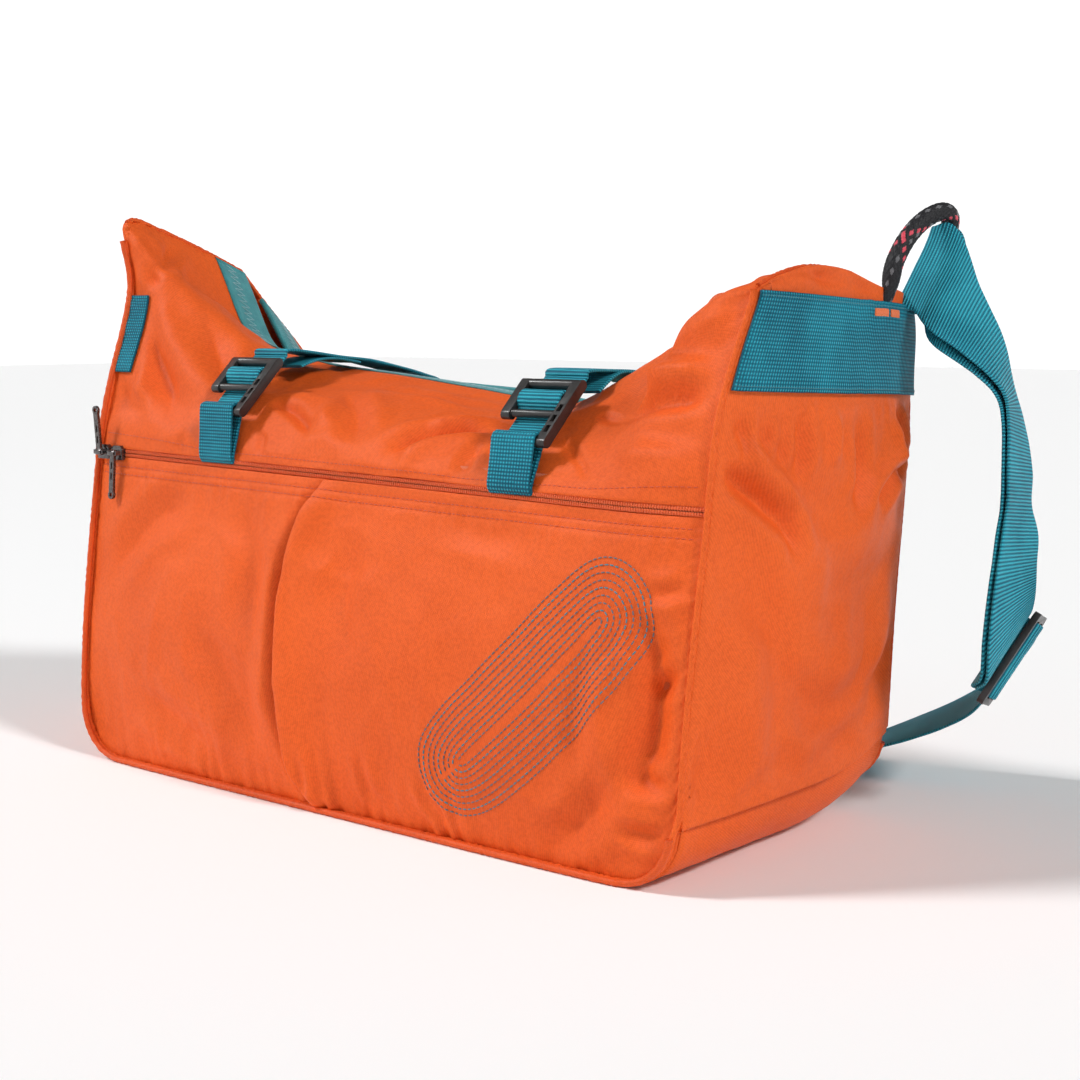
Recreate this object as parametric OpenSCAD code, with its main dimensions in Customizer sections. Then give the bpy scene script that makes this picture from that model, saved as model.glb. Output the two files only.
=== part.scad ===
// Rope storage bag: a sling bag with two raised horns, a zipped front pocket,
// two hook-buckle compression straps over the mouth, a rope handle in each horn
// and an adjustable shoulder strap. All sizes in millimetres.
// X runs along the bag, the front faces -Y, +Z is up, and the origin is the
// middle of the flat underside, on the surface that the bag stands on.

/* [Bag] */
// Length of the bag between the two end seams
bag_l = 480; // [460:4:500]
// Height of the pocket zip above the ground
zip_h = 195; // [190:1:198]
// Radius of the lower corners of the front panel
corner_r = 34; // [30:2:38]
// Thickness of a panel with its lining
wall_t = 2.4; // [1.6:0.2:3]
// How far the end gussets bulge outward
gusset_bulge = 11; // [6:1:14]
// How far the filled pocket bulges forward
pocket_bulge = 13; // [6:1:16]

/* [Webbing and rope] */
// Width of the shoulder strap and of the end bands
strap_w = 50; // [46:1:51]
// Thickness of the webbing
web_t = 1.6; // [1.2:0.1:1.8]
// Width of the compression straps
comp_w = 30; // [25:1:30]
// Distance of each compression strap from the middle of the bag
comp_x = 119; // [112:1:122]
// Diameter of the handle rope
rope_d = 10; // [8:0.5:10.5]

/* [Zip] */
// Width over both zip tapes
tape_w = 26; // [20:1:30]
// Width of the coil
coil_w = 6; // [5:0.5:7]
// Length of a zip pull
pull_l = 27; // [20:1:30]

/* [Hidden] */
$fn = 24;

hx = bag_l / 2;
gap = 0.5;
orange = [0.93, 0.42, 0.20];
orange_dark = [0.80, 0.33, 0.14];
teal = [0.18, 0.49, 0.58];
black = [0.10, 0.09, 0.09];
metal = [0.32, 0.30, 0.30];

// ---------- small maths ----------
function clamp(v, a, b) = min(max(v, a), b);
function unit(v) = let (n = norm(v)) n > 1e-9 ? v / n : [0, 0, 1];
function mix(a, b, t) = a + (b - a) * t;
// Catmull-Rom through a list of values or points, t from 0 to 1
function cr1(p0, p1, p2, p3, t) =
    0.5 * ((2 * p1) + (p2 - p0) * t + (2 * p0 - 5 * p1 + 4 * p2 - p3) * t * t
        + (3 * p1 - p0 - 3 * p2 + p3) * t * t * t);
function crv(P, t) =
    let (n = len(P) - 1, s = clamp(t, 0, 1) * n, i = min(floor(s), n - 1), f = s - i,
        a = i > 0 ? P[i - 1] : 2 * P[0] - P[1], d = i < n - 1 ? P[i + 2] : 2 * P[n] - P[n - 1])
    cr1(a, P[i], P[i + 1], d, f);
// position of x in a rising list of stations, as a 0 to 1 parameter
function findi(S, x, i = 0) = (i >= len(S) - 2 || x <= S[i + 1]) ? i : findi(S, x, i + 1);
function station(S, x) =
    let (c = clamp(x, S[0], S[len(S) - 1]), i = findi(S, c))
    (i + (c - S[i]) / (S[i + 1] - S[i])) / (len(S) - 1);

// ---------- closed sheets, ribbons and tubes ----------
module quads_solid(A, B) {
    n = len(A); m = len(A[0]);
    pts = concat([for (r = A) for (p = r) p], [for (r = B) for (p = r) p]);
    o = n * m;
    function q(a, b, c, d) = [[a, b, c], [a, c, d]];
    top = [for (i = [0:n - 2]) for (j = [0:m - 2]) each q(i * m + j, i * m + j + 1, (i + 1) * m + j + 1, (i + 1) * m + j)];
    bot = [for (i = [0:n - 2]) for (j = [0:m - 2]) each q(o + i * m + j, o + (i + 1) * m + j, o + (i + 1) * m + j + 1, o + i * m + j + 1)];
    e1 = [for (j = [0:m - 2]) each q(j + 1, j, o + j, o + j + 1)];
    e2 = [for (j = [0:m - 2]) each q((n - 1) * m + j, (n - 1) * m + j + 1, o + (n - 1) * m + j + 1, o + (n - 1) * m + j)];
    e3 = [for (i = [0:n - 2]) each q(i * m, (i + 1) * m, o + (i + 1) * m, o + i * m)];
    e4 = [for (i = [0:n - 2]) each q((i + 1) * m + m - 1, i * m + m - 1, o + i * m + m - 1, o + (i + 1) * m + m - 1)];
    polyhedron(points = pts, faces = concat(top, bot, e1, e2, e3, e4), convexity = 8);
}
// a tube or ribbon: R is a list of rings with the same number of points
module rings_solid(R) {
    n = len(R); k = len(R[0]);
    pts = [for (r = R) for (p = r) p];
    side = [for (i = [0:n - 2]) for (j = [0:k - 1]) let (a = i * k + j, b = i * k + (j + 1) % k, c = b + k, d = a + k)
        each [[a, b, c], [a, c, d]]];
    cap0 = [[for (j = [k - 1:-1:0]) j]];
    cap1 = [[for (j = [0:k - 1]) (n - 1) * k + j]];
    polyhedron(points = pts, faces = concat(side, cap0, cap1), convexity = 8);
}
// flat strap along centre points P with width directions V, ringed evenly or at the chosen places U
module ribbon(P, V, w, t, n0, U = []) {
    m = len(P) - 1;
    n = len(U) > 0 ? len(U) - 1 : n0;
    C = [for (i = [0:n]) crv(P, len(U) > 0 ? U[i] / m : i / n)];
    D = [for (i = [0:n]) unit(crv(V, len(U) > 0 ? U[i] / m : i / n))];
    T = [for (i = [0:n]) unit(C[min(i + 1, n)] - C[max(i - 1, 0)])];
    W = [for (i = [0:n]) len(U) > 0 ? D[i] : unit(D[i] - (D[i] * T[i]) * T[i])];
    N = [for (i = [0:n]) unit(cross(T[i], W[i]))];
    rings_solid([for (i = [0:n]) [
        C[i] - W[i] * w / 2 - N[i] * t / 2, C[i] - W[i] * w / 2 + N[i] * t / 2,
        C[i] + W[i] * w / 2 + N[i] * t / 2, C[i] + W[i] * w / 2 - N[i] * t / 2]]);
}
// round rope along centre points P
function perp(v) = unit(abs(v[0]) < 0.8 ? cross(v, [1, 0, 0]) : cross(v, [0, 1, 0]));
module tube(P, d, n, k = 10) {
    C = [for (i = [0:n]) crv(P, i / n)];
    T = [for (i = [0:n]) unit(C[min(i + 1, n)] - C[max(i - 1, 0)])];
    ref = unit(cross(P[1] - P[0], P[len(P) - 1] - P[0]));
    rings_solid([for (i = [0:n]) let (u = unit(ref - (ref * T[i]) * T[i]), v = cross(u, T[i]))
        [for (j = [0:k - 1]) C[i] + d / 2 * (cos(360 * j / k) * u + sin(360 * j / k) * v)]]);
}

// ---------- outline of the bag ----------
// height of the lower edge at x: flat with rounded corners
function zb(x) = let (e = max(abs(x) - (hx - corner_r), 0)) corner_r - sqrt(max(corner_r * corner_r - e * e, 0));
// cross-sections [y, z] of the upper front, from the zip over the crest to the rim
SX = [-1, -0.925, -0.83, -0.71, -0.54, -0.29, 0, 0.21, 0.34, 0.46, 0.60, 0.72, 0.83, 0.925, 1];
SF = [
    [[-82, 3], [-71, 46], [-47, 106], [-45, 150], [-10, 143], [20, 132], [50, 119]],
    [[-86, 3], [-73, 43], [-53, 90], [-42, 123], [-14, 109], [18, 87], [50, 73]],
    [[-86, 3], [-74, 39], [-56, 77], [-37, 100], [-10, 93], [20, 73], [50, 59]],
    [[-86, 3], [-76, 33], [-58, 61], [-34, 77], [-8, 75], [20, 65], [48, 55]],
    [[-86, 3], [-79, 22], [-61, 41], [-34, 53], [-8, 58], [20, 57], [46, 54]],
    [[-86, 3], [-79, 21], [-60, 39], [-34, 49], [-8, 52], [20, 53], [45, 51]],
    [[-86, 3], [-79, 19], [-60, 34], [-34, 43], [-8, 46], [20, 47], [45, 46]],
    [[-86, 3], [-79, 17], [-60, 30], [-34, 38], [-8, 41], [20, 42], [45, 41]],
    [[-86, 3], [-78, 15], [-60, 26], [-34, 33], [-8, 37], [20, 37], [45, 36]],
    [[-86, 3], [-77, 17], [-59, 33], [-34, 43], [-8, 48], [20, 45], [46, 41]],
    [[-86, 3], [-76, 19], [-57, 35], [-34, 52], [-8, 66], [20, 60], [47, 50]],
    [[-86, 3], [-76, 21], [-58, 39], [-36, 56], [-8, 84], [20, 75], [48, 59]],
    [[-85, 3], [-73, 34], [-54, 72], [-40, 98], [-10, 102], [20, 91], [50, 73]],
    [[-81, 3], [-71, 43], [-50, 90], [-42, 109], [-10, 113], [20, 110], [50, 97]],
    [[-77, 3], [-69, 47], [-47, 101], [-42, 112], [-10, 121], [20, 122], [50, 118]]];
// cross-sections [y, z] of the back, from its foot to the rim
BX = [-1, -0.925, -0.83, -0.54, 0, 0.38, 0.60, 0.83, 0.925, 1];
SB = [
    [[102, 52], [108, 110], [114, 165], [118, 212], [108, 248], [64, 300]],
    [[102, 36], [112, 105], [118, 170], [119, 214], [104, 244], [68, 262]],
    [[101, 24], [112, 100], [119, 168], [118, 214], [102, 240], [70, 250]],
    [[100, 18], [114, 95], [120, 165], [117, 212], [101, 238], [71, 246]],
    [[100, 18], [114, 90], [120, 160], [116, 208], [100, 232], [72, 240]],
    [[100, 18], [114, 90], [120, 160], [116, 206], [100, 226], [72, 231]],
    [[100, 18], [114, 95], [120, 165], [117, 212], [101, 233], [71, 241]],
    [[101, 24], [112, 105], [119, 172], [119, 225], [103, 254], [70, 262]],
    [[102, 36], [110, 115], [118, 180], [119, 236], [106, 278], [68, 284]],
    [[102, 52], [108, 125], [116, 190], [119, 240], [109, 294], [64, 303]]];
SXm = [for (s = SX) s * hx];
BXm = [for (s = BX) s * hx];
// the end seams lean outward in the horns
function lean(x, z) = sign(x) * (x < 0 ? 17 : 9) * pow(clamp((z - 240) / 105, 0, 1), 1.5) * pow(clamp((abs(x) - 150) / 90, 0, 1), 2);
// the zip runs straight, falling slightly to the right
function zip_line(x) = zip_h - 0.02 * x;
function fsec(x) = let (t = station(SXm, x), S = [for (k = [0:6]) crv([for (r = SF) r[k]], t)]) S;
function bsec(x) = let (t = station(BXm, x)) [for (k = [0:5]) let (q = crv([for (r = SB) r[k]], t)) k == 0 ? [q[0], zb(x) + 18.2] : q];
function upper_pt(x, w) = let (S = fsec(x), p = crv(S, w), z = p[1] + zip_line(x)) [x + lean(x, z), p[0], z];
function back_pt(x, w) = let (S = bsec(x), p = crv(S, w)) [x + lean(x, p[1]), p[0], p[1]];
function base_y0(x) = -104 + 4 * pow(abs(x) / hx, 6);
function pocket_pt(x, v) = let (z0 = zb(x), zp = fsec(x)[0], z = mix(z0, zip_line(x) + zp[1] - 3, v),
        vv = clamp(z / zip_line(x), 0, 1), b = pocket_bulge * pow(sin(180 * pow(vv, 0.8)), 1.3) * (1 - 0.75 * pow(abs(x) / hx, 3)))
    [x, mix(base_y0(x), zp[0], pow(vv, 1.15)) - b, z];
// direction into the bag within the section plane
function inward(p) = let (e = clamp((abs(p[0]) - 150) / 90, 0, 1), c = [15, mix(120, 240, e)]) unit([0, c[0] - p[1], c[1] - p[2]]);
function inset(p, d) = p + d * inward(p);
function spread(a, b, n) = [for (i = [0:n]) mix(a, b, i / n)];
// finer steps near the ends
function xgrid(a, b, n) = [for (i = [0:n]) let (t = i / n) mix(a, b, t)];
XF = concat([-hx, -hx + 4, -hx + 9, -hx + 16, -hx + 25], xgrid(-hx + 36, hx - 36, 22), [hx - 25, hx - 16, hx - 9, hx - 4, hx]);

// ---------- shell panels ----------
module front_panel() color(orange)
    quads_solid([for (x = XF) [for (j = [0:13]) upper_pt(x, mix(0.05, 1, j / 13))]],
                [for (x = XF) [for (j = [0:13]) inset(upper_pt(x, mix(0.05, 1, j / 13)), wall_t)]]);
split_x = -22;
XPL = [-hx, -hx + 2, -hx + 6, -hx + 12, -hx + 20, -hx + 30, -180, -150, -120, -95, -70, -45, split_x - gap / 2];
XPR = [split_x + gap / 2, 5, 35, 65, 95, 120, 150, 180, hx - 30, hx - 20, hx - 12, hx - 6, hx - 2, hx];
module pocket_half(X) quads_solid([for (x = X) [for (j = [0:9]) pocket_pt(x, mix(0, 0.965, j / 9))]],
                [for (x = X) [for (j = [0:9]) pocket_pt(x, mix(0, 0.965, j / 9)) + [0, wall_t, 0]]]);
module front_pocket_left() color(orange) pocket_half(XPL);
module front_pocket_right() color(orange) pocket_half(XPR);
// the bag's own front wall, behind the pocket
module pocket_back_wall() color(orange_dark) {
    X = concat([-hx + 4], xgrid(-hx + 20, hx - 20, 14), [hx - 4]);
    quads_solid([for (x = X) [for (j = [0:6]) let (p = pocket_pt(x, mix(0.04, 0.92, j / 6))) [x, mix(p[1], -70, 0.35) + 5, max(p[2], zb(x) + 7)]]],
                [for (x = X) [for (j = [0:6]) let (p = pocket_pt(x, mix(0.04, 0.92, j / 6))) [x, mix(p[1], -70, 0.35) + 7, max(p[2], zb(x) + 7)]]]);
}
module back_panel() color(orange)
    quads_solid([for (x = XF) [for (j = [13:-1:0]) back_pt(x, j / 13)]],
                [for (x = XF) [for (j = [13:-1:0]) inset(back_pt(x, j / 13), wall_t)]]);
// underside: flat, rolled up at the ends and at the back
function outline(p, r0) = // p from 0 to 1 along the lower outline, r0 inset
    let (a = 90 * p[0]) p[1] == 0 ? [-(hx - corner_r) - (corner_r - r0) * cos(a), corner_r - (corner_r - r0) * sin(a)]
        : p[1] == 2 ? [(hx - corner_r) + (corner_r - r0) * sin(a), corner_r - (corner_r - r0) * cos(a)]
        : [mix(-(hx - corner_r), hx - corner_r, p[0]), r0];
OP = concat([for (i = [0:6]) [i / 6, 0]], [for (i = [1:9]) [i / 10, 1]], [for (i = [0:6]) [i / 6, 2]]);
TB = [0, 0.2, 0.4, 0.6, 0.72, 0.82, 0.9, 0.96, 1];
function base_rise(t) = 15 * pow(clamp((t - 0.6) / 0.4, 0, 1), 2.2);
function base_pt(p, t, r0) = let (o = outline(p, r0), yf = base_y0(o[0]) + wall_t + 1, yb = back_pt(o[0], 0)[1] - 1)
    [o[0], mix(yf, yb, t), o[1] + base_rise(t) ];
module base_panel() color(orange)
    quads_solid([for (p = OP) [for (t = TB) base_pt(p, 1 - t, 0)]], [for (p = OP) [for (t = TB) base_pt(p, 1 - t, wall_t)]]);
// end gussets, outside the panels' end edges
function fseam(s, h) = h < 0.62 ? let (z = mix(corner_r + 1, zip_line(s * hx) + 2, h / 0.62)) [pocket_pt(s * hx, (z - corner_r) / (zip_line(s * hx) - corner_r))[1], z]
        : let (p = upper_pt(s * hx, 0.5 * (h - 0.62) / 0.38)) [p[1], max(p[2], zip_line(s * hx) + 2.5)];
function gtop(s, t) = let (q = t < 0.6 ? upper_pt(s * hx, mix(0.5, 1, t / 0.6)) : back_pt(s * hx, mix(1, 0.8, (t - 0.6) / 0.4))) [q[1], q[2]];
function gbot(s, t) = let (yf = base_y0(hx) + 0.2, yb = 101) [mix(yf, yb, t), corner_r + 1 + base_rise(t)];
function bseam(s, h) = let (p = back_pt(s * hx, mix(0, 0.8, h))) [p[1], p[2]];
function gus(s, t, h) =
    let (F = fseam(s, h), B = bseam(s, h), b = gbot(s, t), u = gtop(s, t),
        c00 = gbot(s, 0), c10 = gbot(s, 1), c01 = gtop(s, 0), c11 = gtop(s, 1))
    mix(F, B, t) + mix(b, u, h) - mix(mix(c00, c10, t), mix(c01, c11, t), h);
function gbulge(t, h) = gusset_bulge * pow(sin(180 * clamp(t, 0, 1)), 0.7) * pow(sin(180 * clamp(0.12 + 0.80 * h, 0, 1)), 0.8);
function gus3(s, t, h, off) = let (q = gus(s, t, h)) [s * (hx + gap + gbulge(t, h) + off) + lean(s * hx, q[1]), q[0], q[1]];
GT = [0, 0.04, 0.1, 0.2, 0.32, 0.45, 0.58, 0.7, 0.82, 0.91, 0.96, 1];
module gusset(s) {
    H = [for (i = [0:15]) i / 15];
    if (s > 0) quads_solid([for (t = GT) [for (h = H) gus3(1, t, h, wall_t)]], [for (t = GT) [for (h = H) gus3(1, t, h, 0)]]);
    else quads_solid([for (t = GT) [for (h = H) gus3(-1, t, h, 0)]], [for (t = GT) [for (h = H) gus3(-1, t, h, wall_t)]]);
}
module left_gusset() color(orange) gusset(-1);
module right_gusset() color(orange) gusset(1);
// height along the gusset where it reaches z
function hfind(s, t, z, a = 0, b = 1, n = 12) = n == 0 ? (a + b) / 2
    : let (m = (a + b) / 2) gus(s, t, m)[1] < z ? hfind(s, t, z, m, b, n - 1) : hfind(s, t, z, a, m, n - 1);
// top edge of the webbing band across each gusset
function band_top(s, t) = s > 0 ? mix(300, 292, t) : mix(301, 240, pow(t, 1.4));
// webbing band across each gusset
module band(s) {
    o = wall_t + (s > 0 ? 0.4 : 0.9);
    T = [0.005, 0.04, 0.1, 0.2, 0.32, 0.45, 0.58, 0.7, 0.82, 0.91, 0.96, 0.995];
    G = [for (t = T) [for (k = [0:3]) [t, hfind(s, t, band_top(s, t) - strap_w * (1 - k / 3))]]];
    if (s > 0) quads_solid([for (r = G) [for (g = r) gus3(1, g[0], g[1], o + web_t)]], [for (r = G) [for (g = r) gus3(1, g[0], g[1], o)]]);
    else quads_solid([for (r = G) [for (g = r) gus3(-1, g[0], g[1], o)]], [for (r = G) [for (g = r) gus3(-1, g[0], g[1], o + web_t)]]);
}
module band_left() color(teal) band(-1);
module band_right() color(teal) band(1);

// ---------- rims, piping and zip ----------
module rim(f, w0, lo, hi) quads_solid([for (x = XF) [for (w = [w0, (w0 + 1) / 2, 0.999]) inset(f(x, w), -hi)]],
                                  [for (x = XF) [for (w = [w0, (w0 + 1) / 2, 0.999]) inset(f(x, w), -lo)]]);
module mouth_binding_front() color(teal) rim(function(x, w) upper_pt(x, w), 0.87, 0.3, 1.4);
module mouth_binding_back() color(teal) quads_solid(
    [for (x = XF) [for (w = [1, 0.95, 0.9]) inset(back_pt(x, w), -2)]],
    [for (x = XF) [for (w = [1, 0.95, 0.9]) inset(back_pt(x, w), -0.8)]]);
// corded seam round the front of the bag, horn to horn
pipe_r = 2;
function pipe_side(s, n) = [for (i = [0:n]) let (h = 0.02 + 0.93 * (1 - i / n), p = fseam(s, h))
    [s * (hx + 0.4) + lean(s * hx, p[1]), p[0] - 3.7, p[1]]];
function pipe_corner(s, n) = [for (i = [0:n]) let (a = 90 * i / n)
    [s * (hx - corner_r + (corner_r - 2) * cos(a)), base_y0(hx) - 4.6, corner_r - (corner_r - 2) * sin(a)]];
module base_piping() color(orange_dark) {
    L = concat(pipe_side(-1, 9), pipe_corner(-1, 4), [for (x = [-150, -75, 0, 75, 150]) [x, base_y0(x) - 3.8, 2.05]]);
    R = pipe_side(1, 9);
    C = pipe_corner(1, 4);
    P = concat(L, [for (i = [4:-1:0]) C[i]], [for (i = [9:-1:0]) R[i]]);
    tube(P, 2 * pipe_r, 62, 8);
}
zip_y = -86;
function zy(x) = fsec(x)[0][0];
ZX = concat([-hx + 1, -hx + 8], xgrid(-hx + 18, hx - 30, 12), [hx - 16, hx - 7, hx - 1]);
module zip_tapes() color(orange_dark) {
    // upper tape, sewn behind the edge of the front panel
    quads_solid([for (x = ZX) [for (k = [0:3]) k == 0 ? [x, zy(x) + 3.4, zip_line(x) + 0.3] : inset(upper_pt(x, 0.02 + 0.05 * k), wall_t + 0.9)]],
                [for (x = ZX) [for (k = [0:3]) k == 0 ? [x, zy(x) + 4.3, zip_line(x) + 0.3] : inset(upper_pt(x, 0.02 + 0.05 * k), wall_t + 1.8)]]);
    // lower tape, sewn behind the top edge of the pocket
    quads_solid([for (x = ZX) [for (z = [-tape_w / 2, -0.3]) [x, zy(x) + 4.0 + 0.25 * z, zip_line(x) + z]]],
                [for (x = ZX) [for (z = [-tape_w / 2, -0.3]) [x, zy(x) + 4.9 + 0.25 * z, zip_line(x) + z]]]);
}
module zip_coil() color(orange_dark)
    quads_solid([for (x = ZX) [for (z = [-coil_w / 2, coil_w / 2]) [x, zy(x) + 0.2, zip_line(x) + z]]],
                [for (x = ZX) [for (z = [-coil_w / 2, coil_w / 2]) [x, zy(x) + 2.6, zip_line(x) + z]]]);
// sliders park at the left end; the pull turns on a bridge pin along X
slide_l = -230; slide_r = -216;
module at_slider(x) translate([x, zip_y, zip_line(x)]) children();
module zip_slider(x) color(metal) at_slider(x) {
    difference() {
        translate([-5.5, -3.4, -4.6]) cube([11, 3.2, 9.2]);
        for (s = [-1, 1]) translate([s * 5.5, -4, 4.6]) rotate([0, 45, 0]) cube([3, 12, 3], center = true);
    }
    for (s = [-1, 1]) translate([s * 3.9 - 0.7, -7.6, -1.4]) cube([1.4, 4.4, 2.8]);
    translate([-3.6, -6.2, 0]) rotate([0, 90, 0]) cylinder(d = 1.6, h = 7.2);
}
// d = -1 hangs down, 1 stands up
module zip_pull(x, d) color(metal) at_slider(x) translate([0, -6.2, 0]) rotate([d * 4, 0, 0]) {
    rotate([0, 90, 0]) difference() { cylinder(d = 4.2, h = 5.6, center = true); cylinder(d = 2.1, h = 7, center = true); }
    difference() {
        union() {
            translate([-2.1, -1, d > 0 ? 1.75 : -pull_l]) cube([4.2, 2, pull_l - 1.75]);
            translate([0, 1, d * pull_l]) rotate([90, 0, 0]) cylinder(d = 5.6, h = 2);
        }
        translate([0, 2, d * pull_l]) rotate([90, 0, 0]) cylinder(d = 2.8, h = 4);
        for (q = [8, 15]) translate([-0.7, -2, d > 0 ? q - 2.2 : -q - 2.2]) cube([1.4, 4, 4.4]);
    }
}
module zip_slider_left() zip_slider(slide_l);
module zip_slider_right() zip_slider(slide_r);
module zip_pull_left() zip_pull(slide_l, 1);
module zip_pull_right() zip_pull(slide_r, -1);

// ---------- hook buckles and compression straps ----------
cs_x = [-comp_x, comp_x];
bk_at = [[-comp_x, -83, 230], [comp_x, -80.5, 221.5]];
bk_tilt = 46;
bk_w = comp_w + 12;
unhook = 34;
module at_buckle(i) translate(bk_at[i]) rotate([-bk_tilt, 0, 0]) children();
// ladder frame with a hook bar: one long arm on the right, open on the left below
module hook_buckle(i) color(black) at_buckle(i) {
    a = bk_w / 2;
    difference() {
        union() {
            translate([a - 6, -3, -1]) cube([6, 6, 42]);
            translate([a - 6, 0, -1]) rotate([0, 90, 0]) cylinder(d = 6, h = 6);
            translate([-a, -3, 18]) cube([6, 6, 23]);
            translate([-a, 0, 18]) rotate([0, 90, 0]) cylinder(d = 6, h = 6);
            translate([-a, 0, 41]) rotate([0, 90, 0]) cylinder(d = 6, h = bk_w);
        }
        for (z = [4, 11.5, 19]) translate([a - 4.4, -5, z]) cube([2.8, 10, 5]);
    }
    for (z = [30, 19]) translate([-a + 5, 0, z]) rotate([0, 90, 0]) cylinder(d = 4.6, h = bk_w - 10);
    translate([-a + 3.6, 0, 0]) rotate([0, 90, 0]) cylinder(d = 4.6, h = bk_w - 8);
}
// webbing threaded over the middle bar, it moves with the buckle
module strap_end(i) color(teal) at_buckle(i)
    ribbon([[0, 5.4, 51], [0, 5.3, 46], [0, 5.1, 41.5], [0, 3.7, 37.4], [0, 0, 35.3], [0, -2.8, 33.2], [0, -3.8, 30], [0, -2.8, 26.8], [0, 0, 24.6], [0, 3, 22.4], [0, 4.2, 18.5], [0, 4.3, 12]],
        [for (k = [0:11]) [1, 0, 0]], comp_w, web_t, 33);
function bk_world(i, y, z) = bk_at[i] + [0, y * cos(bk_tilt) + z * sin(bk_tilt), -y * sin(bk_tilt) + z * cos(bk_tilt)];
function over_one(x, q, o) = q < 1 ? inset(upper_pt(x, mix(0.46, 1, q)), -o) : inset(back_pt(x, mix(1, 0.62, q - 1)), -o);
// clear of the cloth over the whole width of the strap
function over_top(x, q, o) = let (E = [for (e = [-1, -0.5, 0, 0.5, 1]) over_one(x + e * comp_w / 2, q, o)])
    [x, q > 1.1 ? max([for (p = E) p[1]]) : E[2][1], max([for (p = E) p[2]])];
module compression_strap(i) color(teal) {
    x = cs_x[i];
    P = concat([bk_world(i, 5.4, 51.7), bk_world(i, 6, 58)], [for (q = [0.55, 0.75, 0.9, 1.0, 1.2, 1.4, 1.6, 1.8, 2.0]) over_top(x, q, 4.6 - 2.6 * max(q - 1, 0))]);
    F = [for (p = P) [x, p[1], p[2]]];
    ribbon(F, [for (p = F) [1, 0, 0]], comp_w, web_t, 34);
    // loose tail lying on the bag below the strap
    T = [for (q = [0.12, 0.3, 0.5, 0.72]) let (p = over_top(x, q, 2.0)) [x, p[1], p[2]]];
    ribbon(T, [for (p = T) [1, 0, 0]], comp_w, web_t, 8);
}
// sewn webbing loop that the hook bar passes through
module buckle_loop(i) color(teal) {
    x = cs_x[i];
    h = [bk_at[i][1], bk_at[i][2]];
    e = [-87.4, zip_line(x) + 5];
    d = unit(e - h);
    m = [d[1], -d[0]];
    P = [e + [-1.1, 0], mix(e + [-1.1, 0], h + 4.1 * m, 0.5), h + 4.1 * m, h + 4.1 * unit(m - d), h - 4.1 * d, h + 4.1 * unit(-m - d), h - 4.1 * m, mix(e + [1.1, 0], h - 4.1 * m, 0.5), e + [1.1, 0]];
    F = [for (p = P) [x, p[0], p[1]]];
    ribbon(F, [for (p = F) [1, 0, 0]], comp_w, web_t, 28);
}
module hook_buckle_left() hook_buckle(0);
module hook_buckle_right() hook_buckle(1);
module strap_end_left() strap_end(0);
module strap_end_right() strap_end(1);
module compression_strap_left() compression_strap(0);
module compression_strap_right() compression_strap(1);
module buckle_loop_left() buckle_loop(0);
module buckle_loop_right() buckle_loop(1);

// ---------- rope handles and shoulder strap ----------
ropeR = [[249.6, 84.4, 305.6], [250.4, 88, 316], [253, 96, 329], [257, 105.5, 339], [261, 115, 344.5], [262, 123.4, 343], [260.5, 127.3, 336.5], [257.2, 125.5, 325],
    [253.9, 123.6, 312.4], [250.8, 122, 300], [248.2, 121, 288], [246.6, 121, 279], [245.6, 121, 271]];
ropeL = [[-248, 123, 240], [-252, 134, 240], [-257, 152, 239], [-262, 170, 236], [-265, 186, 229], [-265.5, 192, 219], [-263, 190.5, 209], [-259.5, 184, 204.6],
    [-258, 175, 204], [-258, 152, 204], [-257.8, 136, 204], [-255.5, 127.5, 204.5], [-250.5, 123.5, 206]];
module rope_handle_right() color(black) tube(ropeR, rope_d, 30, 10);
module rope_handle_left() color(black) tube(ropeL, rope_d, 24, 10);
// the adjuster's middle and its turn
adj = [300, 140, 93];
adj_rot = [-25, -58, 40];
Ws = [0.406, 0.341, 0.848];
Fs = [0.235, 0.13, 0.963];
// the strap from the fold on the right rope down to the adjuster: middle points,
// width directions, and the way to the layer behind
sO = [[261.4, 117.2, 312.6], [279.3, 114, 286.9], [294.7, 117, 265.1], [302.6, 119, 247.7], [308.1, 120, 226.9], [311.2, 119, 202.9], [312.2, 117, 184.3],
    [314.8, 114, 167.2], [315.6, 109, 146], [315.2, 106.5, 124], [311, 112, 106], [302.2, 120.5, 100.3], [296.4, 139.2, 95.1]];
sV = [Fs, [-0.05, 0.79, 0.61], [-0.217, 0.935, 0.279], [-0.351, 0.931, 0.089], [-0.257, 0.957, -0.13], [-0.181, 0.977, -0.104], [-0.181, 0.977, -0.104], [-0.052, 0.994, -0.096], [-0.004, 0.999, 0.008], [0.079, 0.932, 0.353], [0.18, 0.68, 0.71], [0.36, 0.42, 0.83], Ws];
sN = [[-8.4, 9.8, -1.8], [-5.5, 2.6, -3.9], [-4.3, -0.2, -2.6], [-3.2, -1.1, -1.2], [-2.8, -0.8, -0.5], [-2.8, -0.6, -0.2], [-2.8, -0.5, -0.2], [-3, -0.2, -0.2], [-3.1, 0, 0], [-3.3, 0.1, 0.4], [-3.1, -0.6, 1.3], [-2.4, -0.7, 1.4], [-2.1, -0.3, 1.1]];
nO = len(sO) - 1;
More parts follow.
